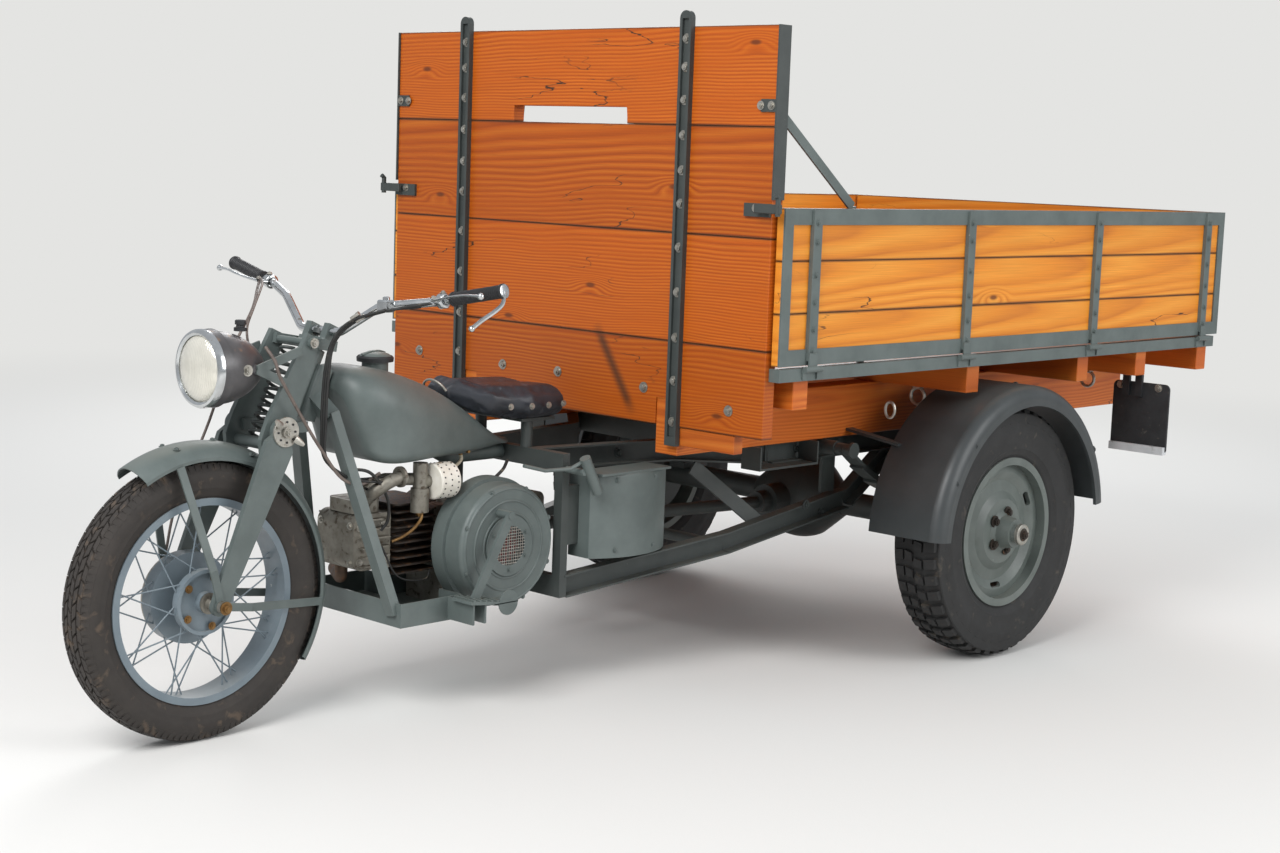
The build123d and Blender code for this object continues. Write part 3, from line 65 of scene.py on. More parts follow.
def make_camera():
    azimuth, elevation = CAMERA_AZIMUTH, CAMERA_ELEVATION
    back = Vector((sin(azimuth) * cos(elevation), -cos(azimuth) * cos(elevation), sin(elevation)))
    level_right = Vector((0, 0, 1)).cross(back).normalized()
    level_up = back.cross(level_right)
    right = cos(CAMERA_ROLL) * level_right + sin(CAMERA_ROLL) * level_up
    up = cos(CAMERA_ROLL) * level_up - sin(CAMERA_ROLL) * level_right
    lens = bpy.data.cameras.new("photo_view")
    lens.sensor_width = SENSOR
    lens.lens = FOCAL
    camera = bpy.data.objects.new("photo_view", lens)
    scene.collection.objects.link(camera)
    camera.matrix_world = Matrix.Translation(CAMERA_AT) @ Matrix((right, up, back)).transposed().to_4x4()
    scene.camera = camera


make_camera()


# Studio: a pale floor that runs into a pale backdrop, one large soft lamp over the front left,
# a weaker one from the right, and an even sky for fill.
BACKDROP = "#E4E4E2"
FLOOR = "#DAD9D6"
FLOOR_R = 60.0
FADE_FROM, FADE_TO = 3.5, 9.0


def linear(code):
    """An sRGB hex colour as linear RGBA."""
    parts = [int(code[i:i + 2], 16) / 255 for i in (1, 3, 5)]
    return tuple(c / 12.92 if c <= 0.04045 else ((c + 0.055) / 1.055) ** 2.4 for c in parts) + (1.0,)


def add_node(tree, kind, settings=None, values=None, links=None):
    """Adds a node with its properties, its inputs' values and the sources of its inputs."""
    made = tree.nodes.new(kind)
    for name, value in (settings or {}).items():
        setattr(made, name, value)
    for name, value in (values or {}).items():
        made.inputs[name].default_value = value
    for name, source in (links or {}).items():
        tree.links.new(source, made.inputs[name])
    return made


def new_material(name):
    """An empty node material, with its tree."""
    material = bpy.data.materials.new(name)
    material.use_nodes = True
    material.node_tree.nodes.clear()
    return material, material.node_tree


def make_studio():
    world = bpy.data.worlds.new("studio")
    scene.world = world
    world.use_nodes = True
    tree = world.node_tree
    tree.nodes.clear()
    ray = add_node(tree, "ShaderNodeLightPath")
    seen = add_node(tree, "ShaderNodeMath", {"operation": "MAXIMUM"},
                    links={0: ray.outputs["Is Camera Ray"], 1: ray.outputs["Is Transmission Ray"]})
    fill = add_node(tree, "ShaderNodeBackground", values={"Color": linear("#EEF2F7"), "Strength": 0.62})
    shown = add_node(tree, "ShaderNodeBackground", values={"Color": linear(BACKDROP), "Strength": 1.0})
    mixed = add_node(tree, "ShaderNodeMixShader", links={0: seen.outputs[0], 1: fill.outputs[0], 2: shown.outputs[0]})
    add_node(tree, "ShaderNodeOutputWorld", links={"Surface": mixed.outputs[0]})

    material, tree = new_material("pale_studio_floor")
    place = add_node(tree, "ShaderNodeTexCoord")
    away = add_node(tree, "ShaderNodeVectorMath", {"operation": "LENGTH"}, links={0: place.outputs["Object"]})
    fade = add_node(tree, "ShaderNodeMapRange", {"interpolation_type": "SMOOTHSTEP"},
                    {"From Min": FADE_FROM, "From Max": FADE_TO}, {"Value": away.outputs["Value"]})
    ray = add_node(tree, "ShaderNodeLightPath")
    shown = add_node(tree, "ShaderNodeMath", {"operation": "MULTIPLY"},
                     links={0: fade.outputs[0], 1: ray.outputs["Is Camera Ray"]})
    grain = add_node(tree, "ShaderNodeTexNoise", values={"Scale": 220.0}, links={"Vector": place.outputs["Object"]})
    bump = add_node(tree, "ShaderNodeBump", values={"Strength": 0.15, "Distance": 0.002},
                    links={"Height": grain.outputs[0]})
    matt = add_node(tree, "ShaderNodeBsdfPrincipled", values={"Base Color": linear(FLOOR), "Roughness": 0.85},
                    links={"Normal": bump.outputs[0]})
    glow = add_node(tree, "ShaderNodeEmission", values={"Color": linear(BACKDROP), "Strength": 1.0})
    mixed = add_node(tree, "ShaderNodeMixShader", links={0: shown.outputs[0], 1: matt.outputs[0], 2: glow.outputs[0]})
    add_node(tree, "ShaderNodeOutputMaterial", links={"Surface": mixed.outputs[0]})
    mesh = bpy.data.meshes.new("studio_floor")
    corners = [(x * FLOOR_R, y * FLOOR_R, 0.0) for x, y in ((-1, -1), (1, -1), (1, 1), (-1, 1))]
    mesh.from_pydata(corners, [], [(0, 1, 2, 3)])
    mesh.materials.append(material)
    floor = bpy.data.objects.new("studio_floor", mesh)
    scene.collection.objects.link(floor)

    # place, what it looks at, width and watts of each soft lamp
    lamps = [((1.6, -5.2, 4.6), (0, -0.4, 0.8), 3.2, 330.0),
             ((6.0, 1.5, 3.2), (0.4, 0.4, 0.7), 3.5, 190.0),
             ((-4.5, 4.5, 4.5), (0, 0.5, 0.8), 4.0, 260.0)]
    for number, (at, aim, width, power) in enumerate(lamps):
        light = bpy.data.lights.new(f"softbox_{number}", "AREA")
        light.shape = "SQUARE"
        light.size = width
        light.energy = power
        lamp = bpy.data.objects.new(f"softbox_{number}", light)
        scene.collection.objects.link(lamp)
        lamp.location = at
        lamp.rotation_euler = (Vector(aim) - Vector(at)).to_track_quat("-Z", "Y").to_euler()


make_studio()


# Steel painted in satin grey-green, brushed and touched up by hand: frame, fork, tank and irons.
# It gives soft broad highlights, slight mottling, dust on what lies level and rubbed spots.
PAINT = dict(base="#5D6664", tone="#515A58", dust="#8D8B80", worn="#A3A49B")
CHASSIS_PAINT = dict(base="#3D4240", tone="#343938", dust="#77746A", worn="#8A8B84")
WHEEL_PAINT = dict(base="#636A66", tone="#555C58", dust="#8A8478", worn="#A9AAA2")
GUARD_PAINT = dict(base="#3A3E3F", tone="#323637", dust="#6B6A64", worn="#8C8D8A")
ORANGE_PEEL = 1 / 0.0016
MOTTLE = 1 / 0.11
CHIP = 1 / 0.022


def satin_paint(name, base, tone, dust, worn, roughness=0.46, chips=0.70):
    """Brushed satin paint over steel, with mottling, settled dust, rubbed spots and a fine texture."""
    material, tree = new_material(name)
    place = add_node(tree, "ShaderNodeTexCoord").outputs["Object"]
    mottle = add_node(tree, "ShaderNodeTexNoise", values={"Scale": MOTTLE, "Detail": 5.0, "Roughness": 0.6},
                      links={"Vector": place})
    spread = add_node(tree, "ShaderNodeMapRange", values={"From Min": 0.35, "From Max": 0.65},
                      links={"Value": mottle.outputs[0]})
    colour = add_node(tree, "ShaderNodeMix", {"data_type": "RGBA"}, {6: linear(base), 7: linear(tone)},
                      {0: spread.outputs[0]})
    facing = add_node(tree, "ShaderNodeSeparateXYZ",
                      links={0: add_node(tree, "ShaderNodeNewGeometry").outputs["Normal"]})
    level = add_node(tree, "ShaderNodeMapRange", {"interpolation_type": "SMOOTHSTEP"},
                     {"From Min": 0.72, "From Max": 1.0, "To Max": 0.42}, {"Value": facing.outputs["Z"]})
    settled = add_node(tree, "ShaderNodeMath", {"operation": "MULTIPLY"},
                       links={0: level.outputs[0], 1: mottle.outputs[0]})
    dusty = add_node(tree, "ShaderNodeMix", {"data_type": "RGBA"}, {7: linear(dust)},
                     {0: settled.outputs[0], 6: colour.outputs[2]})
    chip = add_node(tree, "ShaderNodeTexNoise", values={"Scale": CHIP, "Detail": 7.0, "Roughness": 0.72},
                    links={"Vector": place})
    rubbed = add_node(tree, "ShaderNodeMapRange", values={"From Min": chips, "From Max": chips + 0.04, "To Max": 0.8},
                      links={"Value": chip.outputs[0]})
    shown = add_node(tree, "ShaderNodeMix", {"data_type": "RGBA"}, {7: linear(worn)},
                     {0: rubbed.outputs[0], 6: dusty.outputs[2]})
    sheen = add_node(tree, "ShaderNodeMapRange", values={"To Min": roughness - 0.08, "To Max": roughness + 0.10},
                     links={"Value": mottle.outputs[0]})
    peel = add_node(tree, "ShaderNodeTexNoise", values={"Scale": ORANGE_PEEL, "Detail": 2.0}, links={"Vector": place})
    bump = add_node(tree, "ShaderNodeBump", values={"Strength": 0.10, "Distance": 0.0004},
                    links={"Height": peel.outputs[0]})
    shader = add_node(tree, "ShaderNodeBsdfPrincipled", values={"IOR": 1.5},
                      links={"Base Color": shown.outputs[2], "Roughness": sheen.outputs[0], "Normal": bump.outputs[0]})
    add_node(tree, "ShaderNodeOutputMaterial", links={"Surface": shader.outputs[0]})
    return material


frame_paint = satin_paint("satin_grey_green_paint", **PAINT)
chassis_paint = satin_paint("satin_dark_chassis_paint", roughness=0.52, chips=0.69, **CHASSIS_PAINT)
wheel_paint = satin_paint("satin_wheel_paint", roughness=0.42, chips=0.68, **WHEEL_PAINT)
guard_paint = satin_paint("satin_black_green_paint", roughness=0.40, chips=0.74, **GUARD_PAINT)

painted = {
    frame_paint: ["front_frame", "fan_drum", "foot_pedal", "fuel_tank", "battery_box", "hand_lever",
                  "bed_irons", "side_gate_left_irons", "side_gate_right_irons",
                  "tailgate_irons", "fork_girder", "steering_stem", "front_mudguard"],
    chassis_paint: ["headboard_irons", "chassis_frame", "lower_rails", "upper_rails", "rear_axle", "propeller_shaft", "saddle_frame", "leaf_springs"],
    wheel_paint: ["rear_wheel_left_disc", "rear_wheel_right_disc"],
    guard_paint: ["rear_mudguards"],
}


def dress(node, material):
    """Gives a carried-over piece its material."""
    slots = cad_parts[node].data.materials
    slots.clear()
    slots.append(material)


for material, names in painted.items():
    for name in names:
        dress(name, material)


# Pine boards, machine planed and varnished orange brown: headboard, gates, floor and bearers.
# The figure is growth rings cut along the board, with knots, splits and dirt in the joints.
WOOD = dict(pale="#C9701D", body="#AE5009", late="#883808", knot="#5B2A10", grime="#3A2618")
RING = 0.0075
FIBRE = 1 / 0.0011
BOARD_GAP = 0.0006
BOARD_EDGE = 0.0022


def varnished_pine(name, pale, body, late, knot, grime, depth=0.0, burn=None):
    """Flat sawn pine. The grain attribute is (along, across, through) in metres with each board's own
    offset, and the board attribute is (distance from the middle line, half width, a random share)."""
    material, tree = new_material(name)
    grain = add_node(tree, "ShaderNodeAttribute", {"attribute_name": "grain"}).outputs["Vector"]
    board = add_node(tree, "ShaderNodeSeparateXYZ",
                     links={0: add_node(tree, "ShaderNodeAttribute", {"attribute_name": "board"}).outputs["Vector"]})
    # Knots: a few cells with a small dark heart that pushes the rings aside
    cells = add_node(tree, "ShaderNodeMapping", values={"Scale": (1.15, 3.1, 0.0)}, links={"Vector": grain})
    hearts = add_node(tree, "ShaderNodeTexVoronoi", {"voronoi_dimensions": "2D"}, {"Scale": 1.0, "Randomness": 0.85},
                      {"Vector": cells.outputs[0]})
    push = add_node(tree, "ShaderNodeMapRange", {"interpolation_type": "SMOOTHERSTEP"},
                    {"From Min": 0.0, "From Max": 0.13, "To Min": 0.016, "To Max": 0.0},
                    {"Value": hearts.outputs["Distance"]})
    # Growth rings: distance from a pith that lies under the board and wanders along it
    slow = add_node(tree, "ShaderNodeMapping", values={"Scale": (1.1, 2.4, 1.0)}, links={"Vector": grain})
    wander = add_node(tree, "ShaderNodeTexNoise", values={"Scale": 1.4, "Detail": 2.0, "Roughness": 0.45},
                      links={"Vector": slow.outputs[0]})
    shift = add_node(tree, "ShaderNodeVectorMath", {"operation": "MULTIPLY_ADD"},
                     {1: (0.0, 0.055, 0.030), 2: (0.0, -0.027, 0.0)}, {0: wander.outputs["Color"]})
    bent = add_node(tree, "ShaderNodeVectorMath", {"operation": "ADD"}, links={0: grain, 1: shift.outputs[0]})
    parts = add_node(tree, "ShaderNodeSeparateXYZ", links={0: bent.outputs[0]})
    tilt = add_node(tree, "ShaderNodeMath", {"operation": "MULTIPLY_ADD"}, {1: 0.012, 2: 0.05},
                    {0: parts.outputs["X"]})
    radial = add_node(tree, "ShaderNodeCombineXYZ", links={"X": parts.outputs["Y"], "Y": tilt.outputs[0]})
    reach = add_node(tree, "ShaderNodeVectorMath", {"operation": "LENGTH"}, links={0: radial.outputs[0]})
    pushed = add_node(tree, "ShaderNodeMath", {"operation": "ADD"},
                      links={0: reach.outputs["Value"], 1: push.outputs[0]})
    turns = add_node(tree, "ShaderNodeMath", {"operation": "MULTIPLY"}, {1: 1 / RING}, {0: pushed.outputs[0]})
    year = add_node(tree, "ShaderNodeMath", {"operation": "FRACT"}, links={0: turns.outputs[0]})
    wood = add_node(tree, "ShaderNodeValToRGB", links={0: year.outputs[0]})
    ramp = wood.color_ramp.elements
    ramp[0].position, ramp[0].color = 0.0, linear(body)
    ramp[1].position, ramp[1].color = 1.0, linear(body)
    for at, tone in ((0.30, pale), (0.62, body), (0.90, late)):
        ramp.new(at).color = linear(tone)
    # Fibres and slow drifts of colour along the board
    thin = add_node(tree, "ShaderNodeMapping", values={"Scale": (6.0, FIBRE, FIBRE)}, links={"Vector": grain})
    fibre = add_node(tree, "ShaderNodeTexNoise", values={"Scale": 1.0, "Detail": 3.0}, links={"Vector": thin.outputs[0]})
    drift_at = add_node(tree, "ShaderNodeMapping", values={"Scale": (1.4, 9.0, 9.0)}, links={"Vector": grain})
    drift = add_node(tree, "ShaderNodeTexNoise", values={"Scale": 1.5, "Detail": 4.0},
                     links={"Vector": drift_at.outputs[0]})
    calm = add_node(tree, "ShaderNodeMapRange",
                    values={"From Min": 0.30, "From Max": 0.62, "To Min": 0.75, "To Max": 0.38},
                    links={"Value": drift.outputs[0]})
    quiet = add_node(tree, "ShaderNodeMix", {"data_type": "RGBA"}, {7: linear(body)},
                     {0: calm.outputs[0], 6: wood.outputs[0]})
    streak = add_node(tree, "ShaderNodeMapRange",
                      values={"From Min": 0.3, "From Max": 0.8, "To Min": 0.82, "To Max": 1.14},
                      links={"Value": fibre.outputs[0]})
    lot = add_node(tree, "ShaderNodeMapRange", values={"To Min": 0.86 - depth, "To Max": 1.10 - depth},
                   links={"Value": board.outputs["Z"]})
    tint = add_node(tree, "ShaderNodeMath", {"operation": "MULTIPLY"}, links={0: streak.outputs[0], 1: lot.outputs[0]})
    toned = add_node(tree, "ShaderNodeMix", {"data_type": "RGBA", "blend_type": "MULTIPLY"}, {0: 1.0},
                     {6: quiet.outputs[2], 7: tint.outputs[0]})
    heart = add_node(tree, "ShaderNodeMapRange", {"interpolation_type": "SMOOTHSTEP"},
                     {"From Min": 0.010, "From Max": 0.030, "To Min": 0.85, "To Max": 0.0},
                     {"Value": hearts.outputs["Distance"]})
    knotted = add_node(tree, "ShaderNodeMix", {"data_type": "RGBA"}, {7: linear(knot)},
                       {0: heart.outputs[0], 6: toned.outputs[2]})
    # Splits: thin wandering lines along the grain, only here and there
    split_at = add_node(tree, "ShaderNodeMapping", values={"Scale": (1.1, 7.5, 3.0)}, links={"Vector": bent.outputs[0]})
    split_field = add_node(tree, "ShaderNodeTexNoise", values={"Scale": 1.3, "Detail": 5.0, "Roughness": 0.45},
                           links={"Vector": split_at.outputs[0]})
    centred = add_node(tree, "ShaderNodeMath", {"operation": "SUBTRACT"}, {1: 0.5}, {0: split_field.outputs[0]})
    near = add_node(tree, "ShaderNodeMath", {"operation": "ABSOLUTE"}, links={0: centred.outputs[0]})
    line = add_node(tree, "ShaderNodeMapRange", values={"From Min": 0.0012, "From Max": 0.0035, "To Min": 1.0, "To Max": 0.0},
                    links={"Value": near.outputs[0]})
    where = add_node(tree, "ShaderNodeMapRange", values={"From Min": 0.52, "From Max": 0.60},
                     links={"Value": wander.outputs[0]})
    split = add_node(tree, "ShaderNodeMath", {"operation": "MULTIPLY"}, links={0: line.outputs[0], 1: where.outputs[0]})
    # Grime in the joints between boards
    middle = add_node(tree, "ShaderNodeMath", {"operation": "ABSOLUTE"}, links={0: board.outputs["X"]})
    rim = add_node(tree, "ShaderNodeMath", {"operation": "SUBTRACT"}, links={0: board.outputs["Y"], 1: middle.outputs[0]})
    ragged = add_node(tree, "ShaderNodeMath", {"operation": "MULTIPLY_ADD"}, {1: 0.010, 2: 0.0015},
                      {0: drift.outputs[0]})
    joint = add_node(tree, "ShaderNodeMapRange", {"interpolation_type": "SMOOTHSTEP"}, {"From Min": 0.0, "To Min": 0.9, "To Max": 0.0},
                     {"Value": rim.outputs[0], "From Max": ragged.outputs[0]})
    dirt = add_node(tree, "ShaderNodeMath", {"operation": "MAXIMUM"}, links={0: split.outputs[0], 1: joint.outputs[0]})
    shown = add_node(tree, "ShaderNodeMix", {"data_type": "RGBA"}, {7: linear(grime)},
                     {0: dirt.outputs[0], 6: knotted.outputs[2]})
    if burn:
        # A dark rubbed streak between two places on the front face
        start, stop = Vector(burn[0]), Vector(burn[1])
        way = (stop - start).normalized()
        beside = Vector((way.z, 0, -way.x))
        place = add_node(tree, "ShaderNodeVectorMath", {"operation": "SUBTRACT"}, {1: start},
                         {0: add_node(tree, "ShaderNodeTexCoord").outputs["Object"]})
        off = add_node(tree, "ShaderNodeVectorMath", {"operation": "DOT_PRODUCT"}, {1: beside}, {0: place.outputs[0]})
        off = add_node(tree, "ShaderNodeMath", {"operation": "ABSOLUTE"}, links={0: off.outputs["Value"]})
        off = add_node(tree, "ShaderNodeMapRange", {"interpolation_type": "SMOOTHSTEP"},
                       {"From Max": 0.026, "To Min": 1.0, "To Max": 0.0}, {"Value": off.outputs[0]})
        run = add_node(tree, "ShaderNodeVectorMath", {"operation": "DOT_PRODUCT"}, {1: way}, {0: place.outputs[0]})
        run = add_node(tree, "ShaderNodeMath", {"operation": "PINGPONG"}, {1: (stop - start).length / 2},
                       {0: run.outputs["Value"]})
        within = add_node(tree, "ShaderNodeVectorMath", {"operation": "DISTANCE"}, {1: (start + stop) / 2},
                          {0: add_node(tree, "ShaderNodeTexCoord").outputs["Object"]})
        within = add_node(tree, "ShaderNodeMath", {"operation": "LESS_THAN"}, {1: (stop - start).length / 2},
                          {0: within.outputs["Value"]})
        ends = add_node(tree, "ShaderNodeMapRange", values={"From Max": 0.05, "To Max": 0.8}, links={"Value": run.outputs[0]})
        streaked = add_node(tree, "ShaderNodeMath", {"operation": "MULTIPLY"}, links={0: off.outputs[0], 1: ends.outputs[0]})
        streaked = add_node(tree, "ShaderNodeMath", {"operation": "MULTIPLY"}, links={0: streaked.outputs[0], 1: within.outputs[0]})
        shown = add_node(tree, "ShaderNodeMix", {"data_type": "RGBA"}, {7: linear(grime)},
                         {0: streaked.outputs[0], 6: shown.outputs[2]})
    relief = add_node(tree, "ShaderNodeMath", {"operation": "MULTIPLY_ADD"}, {1: -3.0},
                      {0: split.outputs[0], 2: fibre.outputs[0]})
    bump = add_node(tree, "ShaderNodeBump", values={"Strength": 0.18, "Distance": 0.0006},
                    links={"Height": relief.outputs[0]})
    gloss = add_node(tree, "ShaderNodeMapRange", values={"To Min": 0.34, "To Max": 0.56}, links={"Value": drift.outputs[0]})
    shader = add_node(tree, "ShaderNodeBsdfPrincipled", values={"IOR": 1.5, "Specular IOR Level": 0.35},
                      links={"Base Color": shown.outputs[2], "Roughness": gloss.outputs[0], "Normal": bump.outputs[0]})
    add_node(tree, "ShaderNodeOutputMaterial", links={"Surface": shader.outputs[0]})
    return material


front_pine = varnished_pine("varnished_orange_pine", burn=((0.12, -0.373, 0.98), (0.28, -0.373, 0.74)), **WOOD)
gate_pine = varnished_pine("varnished_honey_pine", pale="#EBA340", body="#DC8726", late="#B8641C", knot=WOOD["knot"],
                           grime="#4A2C16")
under_pine = varnished_pine("varnished_red_pine", pale="#D27C30", body="#BF601E", late="#984414", knot=WOOD["knot"],
                            grime=WOOD["grime"], depth=0.04)


def boards(name, body, material, cuts, along, across, replaced, seed):
    """Bevelled boards as one piece. cuts lists each board's lowest and highest corner, and where it is
    notched its outline too, as (along, across) corners; along and across are its grain and its width."""
    pick = Random(seed)
    through = 3 - along - across
    built = bmesh.new()
    grain = built.verts.layers.float_vector.new("grain")
    board = built.verts.layers.float_vector.new("board")
    planks = {}
    for low, high, *outline in cuts:
        corners = outline[0] if outline else ((low[along], low[across]), (high[along], low[across]),
                                              (high[along], high[across]), (low[along], high[across]))
        rings = []
        for depth in (low[through], high[through]):
            ring = []
            for u, v in corners:
                place = [depth, depth, depth]
                place[along], place[across] = u, v
                ring.append(built.verts.new(place))
            rings.append(ring)
        built.faces.new(rings[0][::-1])
        built.faces.new(rings[1])
        for a, b, c, d in zip(rings[0], rings[0][1:] + rings[0][:1], rings[1][1:] + rings[1][:1], rings[1]):
            built.faces.new((a, b, c, d))
        made = rings[0] + rings[1]
        edges = list({edge for vert in made for edge in vert.link_edges})
        result = bmesh.ops.bevel(built, geom=edges, offset=BOARD_EDGE, segments=2, affect="EDGES", profile=0.6)
        # Pieces cut from one plank end at the same upper edge and share its figure
        plank = round(high[across], 3)
        if plank not in planks:
            offset = Vector((pick.uniform(0, 40), pick.uniform(-0.09, 0.09), pick.uniform(0, 0.05)))
            planks[plank] = offset, pick.random()
        offset, share = planks[plank]
        mid = (low[across] + high[across]) / 2
        half = (high[across] - low[across]) / 2
        for vert in {vert for face in result["faces"] for vert in face.verts}:
            vert[grain] = Vector((vert.co[along], vert.co[across] - plank, vert.co[through] - low[through])) + offset
            vert[board] = Vector((vert.co[across] - mid, half, share))
    bmesh.ops.recalc_face_normals(built, faces=built.faces)
    mesh = bpy.data.meshes.new(name)
    built.to_mesh(mesh)
    built.free()
    mesh.materials.append(material)
    piece = bpy.data.objects.new(name, mesh)
    scene.collection.objects.link(piece)
    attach(piece, body)
    for node in replaced:
        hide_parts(node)
    return piece


def split_board(low, high, axis, places):
    """The boards between low and high, parted along one axis at the given places, with a thin gap."""
    stops = [low[axis]] + sorted(places) + [high[axis]]
    cut = []
    for number, (start, stop) in enumerate(zip(stops, stops[1:])):
        start += BOARD_GAP / 2 if number else 0
        stop -= BOARD_GAP / 2 if number < len(stops) - 2 else 0
        board_low, board_high = list(low), list(high)
        board_low[axis], board_high[axis] = start, stop
        cut.append((board_low, board_high))
    return cut


# Headboard: four wide level boards, the top one with a long viewing slot cut into its lower edge.
# The boards are bolted to two upright channels, and the lowest is notched round the long timbers.
SEAMS = (0.954, 1.241, 1.523)
SLOT_X = (-0.232, 0.216)
SLOT_Z = (1.530, 1.570)
low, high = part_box("headboard")
TIMBER_X = (0.3605, 0.4405)
bearer_low = 0.800
head_cuts = []
for number, (board_low, board_high) in enumerate(split_board(low, high, 2, SEAMS)):
    outline = [(low.x, board_low[2]), (high.x, board_low[2]), (high.x, board_high[2]), (low.x, board_high[2])]
    if number == 0:
        # The lowest board is notched where the long timbers pass
        notches = [(-TIMBER_X[1], low.z), (-TIMBER_X[1], bearer_low), (-TIMBER_X[0], bearer_low), (-TIMBER_X[0], low.z),
                   (TIMBER_X[0], low.z), (TIMBER_X[0], bearer_low), (TIMBER_X[1], bearer_low), (TIMBER_X[1], low.z)]
        outline[1:1] = notches
    if number == 3:
        # The slot is cut into the lower edge of the top board
        outline[1:1] = [(SLOT_X[0], board_low[2]), (SLOT_X[0], SLOT_Z[1]), (SLOT_X[1], SLOT_Z[1]),
                        (SLOT_X[1], board_low[2])]
    head_cuts.append((board_low, board_high, outline))
boards("headboard_planks", "chassis", front_pine, head_cuts, 0, 2, ["headboard"], seed=4)

# Side gates and tailgate: three level boards each, held in an angle iron frame.
GATE_SPLIT = 3
for word, seed in (("side_gate_left", 11), ("side_gate_right", 12), ("tailgate", 13)):
    low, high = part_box(f"{word}_boards")
    step = (high.z - low.z) / GATE_SPLIT
    seams = [low.z + step * number for number in range(1, GATE_SPLIT)]
    along = 0 if word == "tailgate" else 1
    boards(f"{word}_planks", word, gate_pine, split_board(low, high, 2, seams), along, 2, [f"{word}_boards"], seed)

# Bed floor: planks laid along the machine.
FLOOR_BOARDS = 8
low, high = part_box("bed_floor")
seams = [low.x + (high.x - low.x) / FLOOR_BOARDS * number for number in range(1, FLOOR_BOARDS)]
boards("floor_planks", "chassis", front_pine, split_board(low, high, 0, seams), 1, 0, ["bed_floor"], seed=21)

# Bed underside: two long beams, their cross bearers and packing pieces, rough pine stained a red brown.
# The beams run along the machine; the bearers lie across them and are notched over the mudguards.
def wood_blocks(name, source, along, across, replaced, seed):
    """The solids of a timber node as bevelled pieces that carry the grain along one axis."""
    pick = Random(seed)
    through = 3 - along - across
    built = bmesh.new()
    built.from_mesh(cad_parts[source].data)
    bmesh.ops.remove_doubles(built, verts=built.verts, dist=1e-5)
    bmesh.ops.dissolve_limit(built, angle_limit=radians(1), verts=built.verts, edges=built.edges)
    sharp = [edge for edge in built.edges if edge.is_manifold and edge.calc_face_angle(0) > radians(40)]
    bmesh.ops.bevel(built, geom=sharp, offset=0.002, segments=1, affect="EDGES")
    grain = built.verts.layers.float_vector.new("grain")
    board = built.verts.layers.float_vector.new("board")
    left = set(built.verts)
    while left:
        # One timber at a time, followed along its edges
        island, front = set(), [left.pop()]
        while front:
            vert = front.pop()
            island.add(vert)
            for edge in vert.link_edges:
                other = edge.other_vert(vert)
                if other in left:
                    left.discard(other)
                    front.append(other)
        low = [min(vert.co[axis] for vert in island) for axis in range(3)]
        high = [max(vert.co[axis] for vert in island) for axis in range(3)]
        offset = Vector((pick.uniform(0, 40), pick.uniform(-0.05, 0.05), pick.uniform(0, 0.05)))
        share = pick.random()
        mid = (low[across] + high[across]) / 2
        for vert in island:
            vert[grain] = Vector((vert.co[along], vert.co[across] - mid, vert.co[through] - low[through])) + offset
            vert[board] = Vector((vert.co[across] - mid, (high[across] - low[across]) / 2 + 0.02, share))
    mesh = bpy.data.meshes.new(name)
    built.to_mesh(mesh)
    built.free()
    mesh.materials.append(under_pine)
    piece = bpy.data.objects.new(name, mesh)
    scene.collection.objects.link(piece)
    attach(piece, "chassis")
    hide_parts(replaced)


wood_blocks("long_beams", "bed_timbers", 1, 2, "bed_timbers", 31)
wood_blocks("cross_bearers", "bed_bearers", 0, 2, "bed_bearers", 32)
